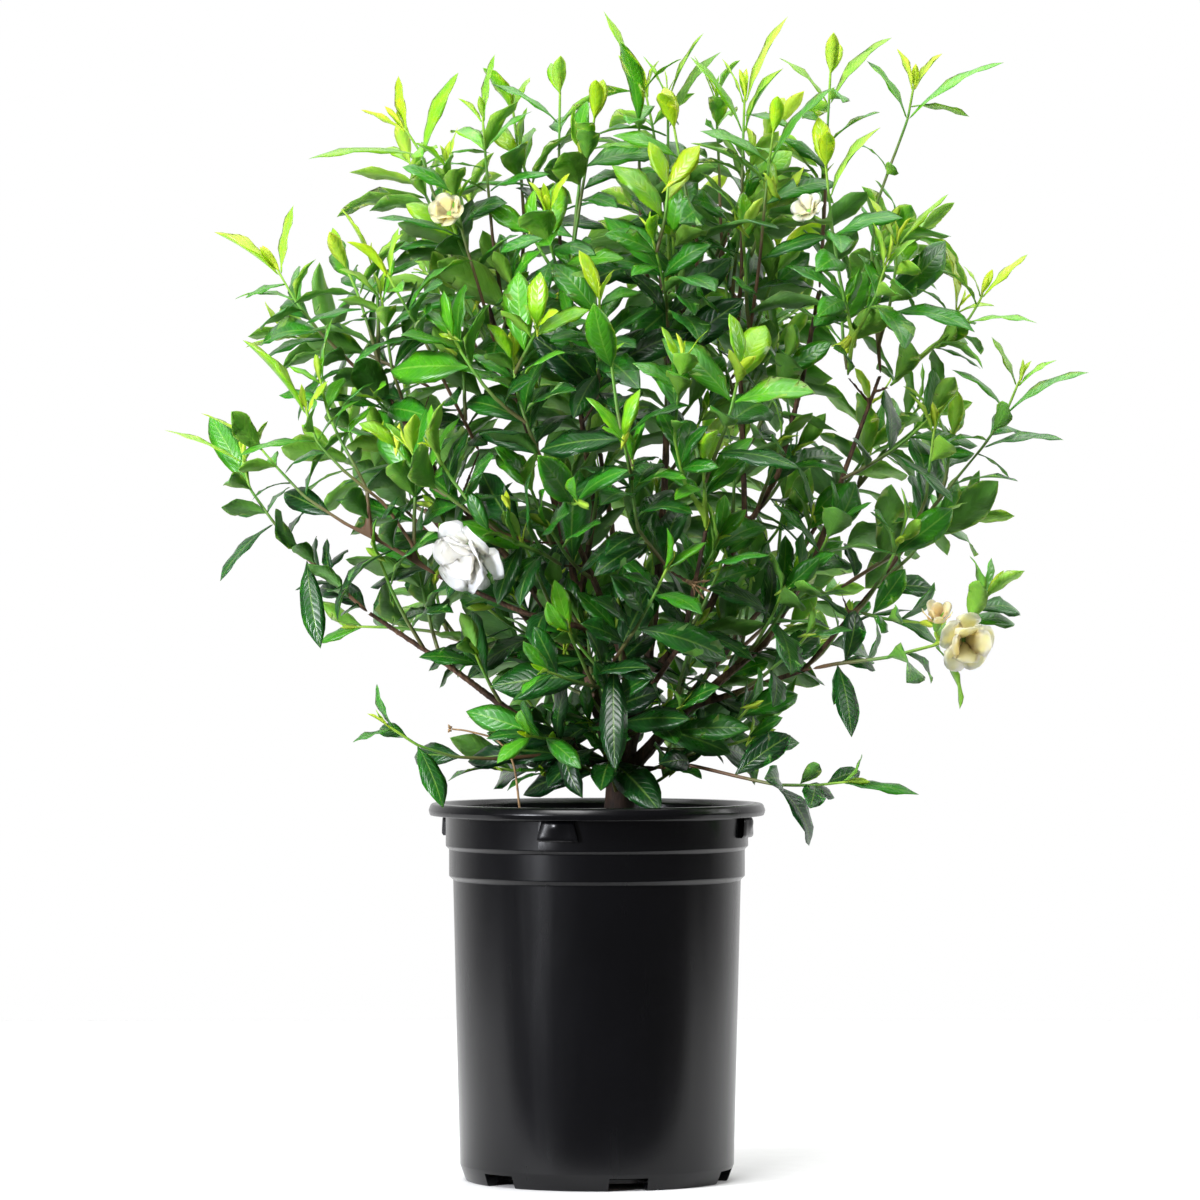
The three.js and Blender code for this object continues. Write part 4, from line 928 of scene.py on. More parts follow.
def blades_tree():
    """Puts a leaf on every point and bends it as the point's attributes say; stems come from edges."""
    tree, given = new_tree(
        "leafy shoot",
        (
            ("Blades", "NodeSocketObject", None),
            ("Leaf", "NodeSocketObject", None),
            ("Ripple", "NodeSocketFloat", 0.1),
            ("Stem sides", "NodeSocketInt", 7),
            ("Leaf material", "NodeSocketMaterial", None),
            ("Stem material", "NodeSocketMaterial", None),
        ),
    )
    blades = add_node(tree, "GeometryNodeObjectInfo", {"Object": given.outputs["Blades"]})
    leaf = add_node(tree, "GeometryNodeObjectInfo", {"Object": given.outputs["Leaf"]})
    placed = add_node(
        tree,
        "GeometryNodeInstanceOnPoints",
        {"Points": blades.outputs["Geometry"], "Instance": leaf.outputs["Geometry"]},
    )
    real = add_node(tree, "GeometryNodeRealizeInstances", {"Geometry": placed.outputs[0]})
    value = {"ripple": given.outputs["Ripple"]}
    for key in BLADE_FLOATS:
        named = add_node(tree, "GeometryNodeInputNamedAttribute", {"Name": key}, data_type="FLOAT")
        value[key] = named.outputs[0]
    for name, operation, *terms in BEND_ROWS:
        inputs = {i: value.get(term, term) for i, term in enumerate(terms)}
        value[name] = add_node(tree, "ShaderNodeMath", inputs, operation=operation).outputs[0]
    ways = {}
    for key in ("foot", "way", "face"):
        named = add_node(tree, "GeometryNodeInputNamedAttribute", {"Name": key}, data_type="FLOAT_VECTOR")
        ways[key] = named.outputs[0]
    side = add_node(
        tree, "ShaderNodeVectorMath", {0: ways["face"], 1: ways["way"]}, operation="CROSS_PRODUCT"
    )
    total = ways["foot"]
    for way, amount in ((ways["way"], "by_way"), (ways["face"], "by_face"), (side.outputs[0], "aside")):
        part = add_node(tree, "ShaderNodeVectorMath", {0: way, "Scale": value[amount]}, operation="SCALE")
        both = add_node(tree, "ShaderNodeVectorMath", {0: total, 1: part.outputs[0]}, operation="ADD")
        total = both.outputs[0]
    bent = add_node(tree, "GeometryNodeSetPosition", {"Geometry": real.outputs[0], "Position": total})
    green = add_node(
        tree,
        "GeometryNodeSetMaterial",
        {"Geometry": bent.outputs[0], "Material": given.outputs["Leaf material"]},
    )
    lines = add_node(tree, "GeometryNodeMeshToCurve", {"Mesh": given.outputs["Geometry"]})
    thickness = add_node(tree, "GeometryNodeInputNamedAttribute", {"Name": "radius_mm"}, data_type="FLOAT")
    metres = add_node(tree, "ShaderNodeMath", {0: thickness.outputs[0], 1: MM}, operation="MULTIPLY")
    sized = add_node(
        tree, "GeometryNodeSetCurveRadius", {"Curve": lines.outputs[0], "Radius": metres.outputs[0]}
    )
    ring = add_node(
        tree, "GeometryNodeCurvePrimitiveCircle", {"Resolution": given.outputs["Stem sides"], "Radius": 1.0}
    )
    radius = add_node(tree, "GeometryNodeInputRadius")
    tube = add_node(
        tree,
        "GeometryNodeCurveToMesh",
        {
            "Curve": sized.outputs[0],
            "Profile Curve": ring.outputs[0],
            "Scale": radius.outputs[0],
            "Fill Caps": True,
        },
    )
    stem = add_node(
        tree,
        "GeometryNodeSetMaterial",
        {"Geometry": tube.outputs[0], "Material": given.outputs["Stem material"]},
    )
    joined = add_node(tree, "GeometryNodeJoinGeometry")
    tree.links.new(stem.outputs[0], joined.inputs[0])
    tree.links.new(green.outputs[0], joined.inputs[0])
    return finish_tree(tree, joined.outputs[0])


def chips_tree():
    """Scatters turned and scaled chips over the upward faces of the mix."""
    tree, given = new_tree(
        "bark chips",
        (
            ("Chip", "NodeSocketObject", None),
            ("Chips per square metre", "NodeSocketFloat", 1000.0),
            ("Chip length", "NodeSocketFloat", 0.01),
            ("Reach", "NodeSocketFloat", 0.1),
            ("Seed", "NodeSocketInt", 1),
            ("Material", "NodeSocketMaterial", None),
        ),
    )
    normal = add_node(tree, "GeometryNodeInputNormal")
    parts = add_node(tree, "ShaderNodeSeparateXYZ", {0: normal.outputs[0]})
    upward = add_node(tree, "FunctionNodeCompare", {0: parts.outputs["Z"], 1: 0.6}, operation="GREATER_THAN")
    where = add_node(tree, "GeometryNodeInputPosition")
    level = add_node(
        tree, "ShaderNodeVectorMath", {0: where.outputs[0], 1: (1.0, 1.0, 0.0)}, operation="MULTIPLY"
    )
    away = add_node(tree, "ShaderNodeVectorMath", {0: level.outputs[0]}, operation="LENGTH")
    inside = add_node(
        tree,
        "FunctionNodeCompare",
        {0: away.outputs["Value"], 1: given.outputs["Reach"]},
        operation="LESS_THAN",
    )
    bed = add_node(
        tree, "FunctionNodeBooleanMath", {0: upward.outputs[0], 1: inside.outputs[0]}, operation="AND"
    )
    spread = add_node(
        tree,
        "GeometryNodeDistributePointsOnFaces",
        {
            "Mesh": given.outputs["Geometry"],
            "Selection": bed.outputs[0],
            "Density": given.outputs["Chips per square metre"],
            "Seed": given.outputs["Seed"],
        },
    )
    chip = add_node(tree, "GeometryNodeObjectInfo", {"Object": given.outputs["Chip"]})
    turn = add_node(
        tree,
        "FunctionNodeRandomValue",
        {"Min": (-0.5, -0.5, 0.0), "Max": (0.5, 0.5, 2 * math.pi), "Seed": given.outputs["Seed"]},
        data_type="FLOAT_VECTOR",
    )
    least = add_node(
        tree, "ShaderNodeMath", {0: given.outputs["Chip length"], 1: 0.3}, operation="MULTIPLY"
    )
    size = add_node(
        tree,
        "FunctionNodeRandomValue",
        {2: least.outputs[0], 3: given.outputs["Chip length"], "Seed": given.outputs["Seed"]},
        data_type="FLOAT",
    )
    placed = add_node(
        tree,
        "GeometryNodeInstanceOnPoints",
        {
            "Points": spread.outputs[0],
            "Instance": chip.outputs["Geometry"],
            "Rotation": turn.outputs[0],
            "Scale": size.outputs[1],
        },
    )
    real = add_node(tree, "GeometryNodeRealizeInstances", {"Geometry": placed.outputs[0]})
    joined = add_node(tree, "GeometryNodeJoinGeometry")
    tree.links.new(real.outputs[0], joined.inputs[0])
    tree.links.new(given.outputs["Geometry"], joined.inputs[0])
    done = add_node(
        tree,
        "GeometryNodeSetMaterial",
        {"Geometry": joined.outputs[0], "Material": given.outputs["Material"]},
    )
    return finish_tree(tree, done.outputs[0])


def can_tree():
    """Cuts the drain notches round the foot and joins the lugs under the lip."""
    tree, given = new_tree(
        "can fittings",
        (
            ("Notch", "NodeSocketObject", None),
            ("Notches", "NodeSocketInt", 6),
            ("Notch start", "NodeSocketFloat", 0.0),
            ("Lug", "NodeSocketObject", None),
            ("Lugs", "NodeSocketInt", 4),
            ("Lug start", "NodeSocketFloat", 0.0),
            ("Material", "NodeSocketMaterial", None),
        ),
    )
    rings = []
    for thing, count, start in (("Notch", "Notches", "Notch start"), ("Lug", "Lugs", "Lug start")):
        shape = add_node(tree, "GeometryNodeObjectInfo", {"Object": given.outputs[thing]})
        points = add_node(tree, "GeometryNodeMeshLine", {"Count": given.outputs[count], "Offset": (0, 0, 0)})
        index = add_node(tree, "GeometryNodeInputIndex")
        share = add_node(
            tree, "ShaderNodeMath", {0: index.outputs[0], 1: given.outputs[count]}, operation="DIVIDE"
        )
        turn = add_node(
            tree,
            "ShaderNodeMath",
            {0: share.outputs[0], 1: 2 * math.pi, 2: given.outputs[start]},
            operation="MULTIPLY_ADD",
        )
        angle = add_node(tree, "ShaderNodeCombineXYZ", {"Z": turn.outputs[0]})
        placed = add_node(
            tree,
            "GeometryNodeInstanceOnPoints",
            {
                "Points": points.outputs[0],
                "Instance": shape.outputs["Geometry"],
                "Rotation": angle.outputs[0],
            },
        )
        real = add_node(tree, "GeometryNodeRealizeInstances", {"Geometry": placed.outputs[0]})
        rings.append(real.outputs[0])
    cut = add_node(
        tree,
        "GeometryNodeMeshBoolean",
        {"Mesh 1": given.outputs["Geometry"], "Mesh 2": rings[0]},
        operation="DIFFERENCE",
    )
    fused = add_node(tree, "GeometryNodeMeshBoolean", operation="UNION")
    tree.links.new(cut.outputs[0], fused.inputs["Mesh 2"])
    tree.links.new(rings[1], fused.inputs["Mesh 2"])
    done = add_node(
        tree, "GeometryNodeSetMaterial", {"Geometry": fused.outputs[0], "Material": given.outputs["Material"]}
    )
    return finish_tree(tree, done.outputs[0])


def bark_tree():
    """Lifts the skin of the wood in ridges that run along it."""
    tree, given = new_tree(
        "bark ridges", (("Ridge", "NodeSocketFloat", 0.0005), ("Material", "NodeSocketMaterial", None))
    )
    where = add_node(tree, "GeometryNodeInputPosition")
    long = add_node(
        tree, "ShaderNodeVectorMath", {0: where.outputs[0], 1: (1.0, 1.0, 0.3)}, operation="MULTIPLY"
    )
    ridge = add_node(
        tree, "ShaderNodeTexNoise", {"Vector": long.outputs[0], "Scale": RIDGES_PER_METRE, "Detail": 3.0}
    )
    lifted = add_node(tree, "ShaderNodeMath", {0: ridge.outputs["Fac"], 1: 0.5}, operation="SUBTRACT")
    height = add_node(
        tree, "ShaderNodeMath", {0: lifted.outputs[0], 1: given.outputs["Ridge"]}, operation="MULTIPLY"
    )
    normal = add_node(tree, "GeometryNodeInputNormal")
    offset = add_node(
        tree, "ShaderNodeVectorMath", {0: normal.outputs[0], "Scale": height.outputs[0]}, operation="SCALE"
    )
    moved = add_node(
        tree, "GeometryNodeSetPosition", {"Geometry": given.outputs["Geometry"], "Offset": offset.outputs[0]}
    )
    done = add_node(
        tree, "GeometryNodeSetMaterial", {"Geometry": moved.outputs[0], "Material": given.outputs["Material"]}
    )
    return finish_tree(tree, done.outputs[0])


# Can and mix


def rounded(profile, steps):
    """The points of a profile with each corner turned into an arc of its radius."""
    points = [Vector(row[:2]) for row in profile]
    result = [points[0]]
    for i in range(1, len(points) - 1):
        before, corner, after = points[i - 1 : i + 2]
        back = (before - corner).normalized()
        on = (after - corner).normalized()
        spare = 0.45 * min((before - corner).length, (after - corner).length)
        cut = min(profile[i][2] / math.tan(back.angle(on) / 2), spare)
        start = corner + back * cut
        end = corner + on * cut
        for k in range(steps + 1):
            t = k / steps
            result.append(start * (1 - t) ** 2 + corner * 2 * t * (1 - t) + end * t * t)
    result.append(points[-1])
    return result


def lathe(name, points, spokes):
    """A closed body turned about the upright axis, from a profile that starts and ends on it."""
    vertices = [(0, 0, points[0].y * MM)]
    for point in points[1:-1]:
        for k in range(spokes):
            angle = 2 * math.pi * k / spokes
            vertices.append((point.x * MM * math.cos(angle), point.x * MM * math.sin(angle), point.y * MM))
    vertices.append((0, 0, points[-1].y * MM))
    faces = []
    rings = len(points) - 2
    for k in range(spokes):
        on = (k + 1) % spokes
        faces.append((0, 1 + on, 1 + k))
        for ring in range(rings - 1):
            low = 1 + ring * spokes
            high = low + spokes
            faces.append((low + k, low + on, high + on, high + k))
        last = 1 + (rings - 1) * spokes
        faces.append((last + k, last + on, len(vertices) - 1))
    return mesh_from(name, vertices, faces)


def mesh_of(name, shell):
    """The mesh of a working shell, which is let go."""
    mesh = bpy.data.meshes.new(name)
    shell.to_mesh(mesh)
    shell.free()
    return mesh


def shaped_block(name, shape, cuts):
    """A block cut into a grid, whose points go where a function of their places in it puts them."""
    shell = bmesh.new()
    bmesh.ops.create_cube(shell, size=2.0)
    if cuts:
        bmesh.ops.subdivide_edges(shell, edges=shell.edges[:], cuts=cuts, use_grid_fill=True)
    for vertex in shell.verts:
        vertex.co = place(shape(*vertex.co))
    return bpy.data.objects.new(name, mesh_of(name, shell))


def notch_place(x, y, z):
    """A notch is a plain block across the corner of the foot."""
    return (x * NOTCH_SIZE[0] / 2, y * NOTCH_SIZE[1] / 2 - NOTCH_RADIUS, z * NOTCH_SIZE[2] / 2)


def lug_place(x, y, z):
    """A lug is a tab that widens to its foot, soft at its edges, with a low dome at its head."""
    share = (z + 1) / 2
    half = (LUG_WIDTHS[0] * (1 - share) + LUG_WIDTHS[1] * share) / 2
    soft = 1 - 0.3 * abs(x) ** 8 - 0.3 * abs(z) ** 8
    dome = math.exp(-((2.1 * x) ** 2) - (1.2 * (0.5 - z)) ** 2)
    reach = 1 + LUG_REACH * soft + LUG_DOME * dome
    return (x * half, 1 - COLLAR_RADIUS - reach * (1 - y) / 2, LUG_FOOT + share * (LUG_HEAD - LUG_FOOT))


def soil_bed():
    """The mix as one closed body with a lumpy top."""
    points = [
        Vector((0, FLOOR_TOP + SOIL_LIFT)),
        Vector((FOOT_RADIUS - WALL - SOIL_LIFT, FLOOR_TOP + SOIL_LIFT)),
        Vector((BODY_FOOT_RADIUS - WALL - SOIL_GAP, BODY_FOOT)),
        Vector((BODY_RADIUS - WALL - SOIL_GAP - 0.2, BODY_TOP - 2)),
        Vector((BAND_RADIUS - WALL - SOIL_GAP - 0.2, COLLAR_FOOT - 4)),
    ]
    points.extend(Vector((SOIL_RADIUS * k / SOIL_RINGS, SOIL_TOP)) for k in range(SOIL_RINGS, -1, -1))
    mesh = lathe("soil_bed", points, SOIL_SPOKES)
    for vertex in mesh.vertices:
        if vertex.co.z < (SOIL_TOP - 1) * MM:
            continue
        radius = vertex.co.xy.length / MM
        lumps = noise.fractal(vertex.co * LUMPS_PER_METRE, 1.0, 2.0, 3)
        crumbs = noise.noise(vertex.co * CRUMBS_PER_METRE)
        drop = EDGE_DROP * (radius / SOIL_RADIUS) ** 6
        vertex.co.z += (LUMP_HEIGHT * lumps + CRUMB_HEIGHT * crumbs - drop) * MM
    return mesh


def chip_template():
    """One bark chip, one unit long: a flat, uneven block."""
    dice = random.Random(CHIP_SEED)
    shell = bmesh.new()
    bmesh.ops.create_cube(shell, size=1.0)
    for vertex in shell.verts:
        vertex.co = Vector((vertex.co.x, vertex.co.y * 0.55, vertex.co.z * 0.22))
        vertex.co += Vector((dice.uniform(-0.16, 0.16), dice.uniform(-0.1, 0.1), dice.uniform(-0.05, 0.05)))
    return bpy.data.objects.new("chip", mesh_of("chip", shell))


class GARDENIA_OT_can(bpy.types.Operator):
    """Turns the can from its profile, notches its foot and adds its lugs"""

    bl_idname = "gardenia.add_can"
    bl_label = "Add can"

    def execute(self, context):
        settings = context.scene.gardenia_can
        profile = rounded(POT_PROFILE, CORNER_STEPS)
        piece = new_object("can", lathe("can", profile, settings.spokes))
        shade_smooth(piece.data)
        values = {
            "Notch": shaped_block("notch", notch_place, 0),
            "Notches": settings.notches,
            "Notch start": math.radians(NOTCH_START),
            "Lug": shaped_block("lug", lug_place, LUG_CUTS),
            "Lugs": settings.lugs,
            "Lug start": math.radians(LUG_START),
            "Material": black_polypropylene(settings),
        }
        run_tree(piece, can_tree(), values)
        shade_smooth(piece.data)
        piece.data.set_sharp_from_angle(angle=math.radians(SHARP_ANGLE))
        dress(piece, "pot", "pot")
        return {"FINISHED"}


class GARDENIA_OT_mix(bpy.types.Operator):
    """Fills the can with lumpy mix and lays bark chips over it"""

    bl_idname = "gardenia.add_mix"
    bl_label = "Add potting mix"

    def execute(self, context):
        settings = context.scene.gardenia_mix
        piece = new_object("potting_mix", soil_bed())
        shade_smooth(piece.data)
        bark = ground_bark(settings)
        chip = chip_template()
        for mesh in (piece.data, chip.data):
            mesh.materials.append(bark)
        area = math.pi * (SOIL_RADIUS * MM) ** 2
        values = {
            "Chip": chip,
            "Chips per square metre": settings.chips / area,
            "Chip length": settings.chip_length,
            "Reach": SOIL_RADIUS * MM - settings.chip_length * 0.7,
            "Seed": settings.seed,
            "Material": bark,
        }
        run_tree(piece, chips_tree(), values)
        dress(piece, "soil", "soil")
        return {"FINISHED"}


# Wood


def welded(node):
    """A working copy of a solid with its loose triangles joined."""
    shell = bmesh.new()
    shell.from_mesh(frame["nodes"][node].data)
    bmesh.ops.remove_doubles(shell, verts=shell.verts, dist=WELD)
    return shell


def keep_largest(shell):
    """Drops the crumbs that a remesh leaves beside and inside the one grown body."""
    left = set(shell.faces)
    largest = set()
    while left:
        edge_of = [left.pop()]
        part = set(edge_of)
        while edge_of:
            for edge in edge_of.pop().edges:
                for face in edge.link_faces:
                    if face in left:
                        left.discard(face)
                        part.add(face)
                        edge_of.append(face)
        largest = max(largest, part, key=len)
    crumbs = [face for face in shell.faces if face not in largest]
    bmesh.ops.delete(shell, geom=crumbs, context="FACES")


def slimmed(shell):
    """Spreads the foot of the trunk and thins the limbs above it, by their thickness at each place."""
    inside = BVHTree.FromBMesh(shell)
    most = THICKEST_WOOD * MM
    moves = []
    for vertex in shell.verts:
        start = vertex.co - vertex.normal * 0.05 * MM
        across = inside.ray_cast(start, -vertex.normal, most)[3] or most
        moves.append(vertex.normal * across * float(np.interp(vertex.co.z / MM, *WOOD_SWELL)))
    for vertex, move in zip(shell.verts, moves):
        vertex.co += move


class GARDENIA_OT_wood(bpy.types.Operator):
    """Grows the trunk and limbs together and gives them a ridged bark"""

    bl_idname = "gardenia.add_wood"
    bl_label = "Add wood"

    def execute(self, context):
        settings = context.scene.gardenia_wood
        piece = new_object("trunk_and_limbs", mesh_of("trunk_and_limbs", welded("trunk")))
        remesh = piece.modifiers.new("Fuse", "REMESH")
        remesh.mode = "VOXEL"
        remesh.voxel_size = settings.voxel
        bake_modifiers(piece)
        shell = bmesh.new()
        shell.from_mesh(piece.data)
        keep_largest(shell)
        slimmed(shell)
        shell.to_mesh(piece.data)
        shell.free()
        smooth = piece.modifiers.new("Soften", "SMOOTH")
        smooth.factor = 0.5
        smooth.iterations = 4
        bake_modifiers(piece)
        shade_smooth(piece.data)
        run_tree(piece, bark_tree(), {"Ridge": settings.ridge, "Material": living_bark(settings)})
        dress(piece, "bark", "trunk")
        return {"FINISHED"}


# Foliage


class Blade:
    """How one leaf is held: its foot, chord, upper face, size, arch, fold and colour."""

    def __init__(self, foot, way, face, length, width, bend, fold, tint=0.5, tone=1.0):
        self.foot = foot
        self.way = way.normalized()
        self.face = (face - self.way * face.dot(self.way)).normalized()
        self.length = length
        self.width = width
        self.bend = bend if abs(bend) > 0.05 else 0.05
        self.fold = fold
        self.tint = tint
        self.tone = tone
        self.curl = 0.0
        self.phase = 0.0

    def turn_to(self, light):
        """Turns the upper skin to the light and leaves the form as it is."""
        if self.face.dot(light) < -0.1:
            self.face.negate()
            self.bend = -self.bend
            self.fold = -self.fold

    def at(self, t, v=0.0):
        """The place at a share of its length and of its half width."""
        half = self.bend / 2
        angle = self.bend * (t - 0.5)
        arc = self.length / (2 * math.sin(half))
        side = self.face.cross(self.way)
        forward = arc * (math.sin(angle) + math.sin(half))
        rise = arc * (math.cos(angle) - math.cos(half))
        return self.foot + self.way * forward + self.face * rise + side * (v * self.width / 2)


def ring_of(vertex):
    """The four neighbours of a point where four faces meet, in order round it."""
    near = [edge.other_vert(vertex) for edge in vertex.link_edges]
    ring = [near.pop()]
    while near:
        faces = [face for face in vertex.link_faces if ring[-1] in face.verts]
        step = next((v for v in near if any(v in face.verts for face in faces)), None)
        if step is None:
            return None
        ring.append(step)
        near.remove(step)
    return ring


def step_back(sections, tip):
    """The section before the last one found, or None where the blade meets its stem."""
    right, top, left, under = sections[-1]
    known = set(sections[-1]) | set(sections[-2] if len(sections) > 1 else (tip,))
    beyond = [{edge.other_vert(v) for edge in v.link_edges} - known for v in (right, top, left, under)]
    if len(beyond[0]) != 1 or len(beyond[2]) != 1:
        return None
    edges = beyond[0] | beyond[2]
    ribs = [beyond[1] - edges, beyond[3] - edges]
    if len(ribs[0]) != 1 or len(ribs[1]) != 1:
        return None
    return (beyond[0].pop(), ribs[0].pop(), beyond[2].pop(), ribs[1].pop())


def read_blade(tip, sections):
    """The pose of a blade of the solids, from its tip and its sections."""
    shares = BLADE_SECTIONS[len(sections)]
    ordered = sections[::-1]
    middles = [(s[1].co + s[3].co) / 2 for s in ordered]
    known = set(ordered[0]) | set(ordered[1])
    near = dict.fromkeys(edge.other_vert(v) for v in ordered[0] for edge in v.link_edges)
    patch = [v for v in near if v not in known]
    if len(patch) == 4:
        foot = sum((v.co for v in patch), Vector()) / 4
    else:
        foot = middles[0] - (middles[1] - middles[0]) * shares[0] / (shares[1] - shares[0])
    way = (tip.co - foot).normalized()
    ribs = sum(((s[1].co - s[3].co).normalized() for s in ordered), Vector())
    face = (ribs - way * ribs.dot(way)).normalized()
    length = (tip.co - foot).length
    rises = [(m - foot).dot(face) / (t * (1 - t)) for m, t in zip(middles, shares)]
    bend = 2 * sum(rises) / len(rises) / length
    widest = max(ordered, key=lambda s: (s[0].co - s[2].co).length)
    across = (widest[0].co - widest[2].co).length / 2
    lift = ((widest[0].co + widest[2].co) / 2 - (widest[1].co + widest[3].co) / 2).dot(face)
    fold = math.atan2(lift, across)
    return Blade(foot, way, face, length, 2 * math.hypot(across, lift), bend, fold)


def read_branch(node):
    """The blades, the shoot tips and the bare stem of a branch of the solids."""
    shell = welded(node)
    blades = []
    tips = []
    leaf_points = set()
    for vertex in list(shell.verts):
        ring = ring_of(vertex) if len(vertex.link_faces) == 4 and len(vertex.link_edges) == 4 else None
        if ring is None:
            continue
        spans = [(ring[k].co - ring[k + 2].co).length / MM for k in (0, 1)]
        if max(spans) < LEAST_BLADE / 2:
            tips.append(vertex.co.copy())
        if max(spans) < LEAST_BLADE or abs(min(spans) - RIB) > RIB_SPARE:
            continue
        start = ring if spans[0] > spans[1] else ring[1:] + ring[:1]
        outward = (start[0].co - start[2].co).cross(vertex.co - start[1].co)
        if outward.dot(start[1].co - start[3].co) < 0:
            start = [start[2], start[1], start[0], start[3]]
        sections = [tuple(start)]
        while (further := step_back(sections, vertex)) and len(sections) < 3:
            sections.append(further)
        if len(sections) not in BLADE_SECTIONS:
            continue
        blades.append(read_blade(vertex, sections))
        leaf_points.update(v for section in sections for v in section)
        leaf_points.add(vertex)
    bmesh.ops.delete(shell, geom=list(leaf_points), context="VERTS")
    bmesh.ops.holes_fill(shell, edges=[e for e in shell.edges if e.is_boundary], sides=0)
    return blades, tips, shell


class Room:
    """The places that are taken, as points with a radius, kept in cells."""

    CELL = 20 * MM

    def __init__(self):
        self.cells = {}

    def cell(self, point):
        """The cell that a point lies in."""
        return tuple(math.floor(c / self.CELL) for c in point)

    def take(self, points, radius):
        """Takes the room round some points."""
        for point in points:
            self.cells.setdefault(self.cell(point), []).append((point, radius))

    def blocked(self, points, radius, root, clear):
        """Whether something lies within a radius of the points, but for what is near their root."""
        for point in points:
            x, y, z = self.cell(point)
            for cell in ((x + i, y + j, z + k) for i in (-1, 0, 1) for j in (-1, 0, 1) for k in (-1, 0, 1)):
                for other, reach in self.cells.get(cell, ()):
                    if (other - root).length < clear:
                        continue
                    if (other - point).length < reach + radius:
                        return True
        return False


def spoke(axis, angle):
    """The way out from an axis, at an angle round it."""
    first = axis.orthogonal().normalized()
    return first * math.cos(angle) + axis.cross(first) * math.sin(angle)


def bloom_room(foot, face, reach):
    """Places over a flower and before it, which the added leaves leave free."""
    axis = (Vector(face).normalized() + Vector((0, -0.6, 0))).normalized()
    points = []
    for ahead in range(6, 70, 16):
        middle = place(foot) + axis * ahead * MM
        points.append(middle)
        points.extend(middle + spoke(axis, math.pi * k / 3) * 0.7 * reach * MM for k in range(6))
    return points


def blade_points(blade):
    """Places spread over a blade, which stand for it where room is looked for."""
    pairs = [blade.at(t, v) for t in (0.3, 0.55, 0.8) for v in (-0.5, 0.5)]
    return [*pairs, blade.at(1.0)]


def crown_share(point):
    """How far out in the crown a place is: 1 on its surface."""
    x = point.x / MM - CROWN_MIDDLE[0]
    y = (point.y / MM - CROWN_MIDDLE[1]) / CROWN_DEPTH
    heights, radii = zip(*CROWN)
    radius = float(np.interp(point.z / MM, heights, radii, left=1.0, right=1.0))
    return math.hypot(x, y) / radius


def in_crown(point, share):
    """Whether a leaf tip keeps to the crown and hangs clear of the lip of the can."""
    low = point.z < (POT_HEIGHT + 4) * MM
    sunk = point.xy.length > (COLLAR_RADIUS - 12) * MM or point.z < (SOIL_TOP + 6) * MM
    return crown_share(point) <= share and not (low and sunk)


def in_box(point):
    """Whether a place keeps within the reach of the solids."""
    return all(low + 3 * MM < c < high - 3 * MM for low, c, high in zip(CAD_BOX[0], point, CAD_BOX[1]))


def stem_seats(shell, dice, count, low=0, high=1000):
    """Random places on a stem between two heights: a place, the way out of it and the way along it."""
    faces = [
        f for f in shell.faces
        if f.calc_area() > 1.5 * MM * MM and low * MM < f.calc_center_median().z < high * MM
    ]
    weights = [f.calc_area() for f in faces]
    seats = []
    for face in dice.choices(faces, weights=weights, k=count) if faces else ():
        longest = max(face.edges, key=lambda e: e.calc_length())
        along = (longest.verts[1].co - longest.verts[0].co).normalized()
        corners = [v.co for v in face.verts]
        shares = [dice.random() + 0.1 for _ in corners]
        centre = sum((c * s for c, s in zip(corners, shares)), Vector()) / sum(shares)
        if along.dot(centre - place((20, 0, 300))) < 0:
            along.negate()
        seats.append((centre, face.normal.copy(), along))
    return seats


def outward(point):
    """The level way out of the crown at a place."""
    away = Vector((point.x - CROWN_MIDDLE[0] * MM, point.y - CROWN_MIDDLE[1] * MM, 0))
    return away.normalized() if away.length > 10 * MM else Vector((0, -1, 0))


def jitter(dice, reach):
    """A small step any way, up to a reach along each axis."""
    return Vector([dice.uniform(-reach, reach) for _ in range(3)])


def any_side(way, dice):
    """A direction square to a way, at a random angle round it."""
    side = way.orthogonal().normalized()
    side.rotate(Matrix.Rotation(dice.uniform(0, math.pi), 3, way))
    return side


def low_share(point):
    """How low on the plant a place is: 1 at the top of the can and 0 well over it."""
    return max(0.0, 1 - (point.z / MM - POT_HEIGHT) / LOW_CROWN)


def lit_face(point, heading, dice):
    """The upper face of a leaf turns to the light: up, out of the crown and along its stem."""
    return UP * 0.55 + outward(point) * 0.6 + heading * 0.2 + jitter(dice, 0.3)


def tint_of(distance, point, fresh, dice):
    """Leaf colour from lime at a fresh tip to deep green on old stems, drawn darker still low on the plant
    and deep in the crown as painted shade.
    """
    age = min(1.0, distance / (OLD_DISTANCE * MM))
    # painted shade: leaves low on the plant and deep in the crown are drawn darker than their age makes them
    high = float(np.interp(point.z / MM, TINT_HEIGHTS, (0, 1)))
    inner = max(0.0, 0.9 - crown_share(point))
    tint = LEAF_TINT + AGE_TINT * age + LOW_SHADE * (1 - high) + INNER_SHADE * inner
    tint += dice.uniform(-0.09, 0.1)
    if age < 0.16:
        tint -= 0.32 * fresh
    elif age < 0.45:
        tint -= 0.14 * fresh
    return min(1.0, max(LEAST_TINT, tint))


def sprig_path(start, out, along, dice, sunk):
    """The path of a short shoot, out of what carries it and up to the light, its length and its way."""
    length = dice.uniform(*SPRIG_LENGTHS) * MM
    rise = max(0.0, (start.z / MM - AIRY_HEIGHT) / 200)
    climb = dice.uniform(0.1, 0.9) - 0.7 * low_share(start) + rise
    way = (out * 0.7 + along * 0.5 + outward(start) * 0.45 + UP * climb).normalized()
    path = [start - out * sunk * MM]
    for _ in range(SPRIG_STEPS):
        way = (way + UP * 0.09 + jitter(dice, 0.07)).normalized()
        path.append(path[-1] + way * length / SPRIG_STEPS)
    return path, length, way


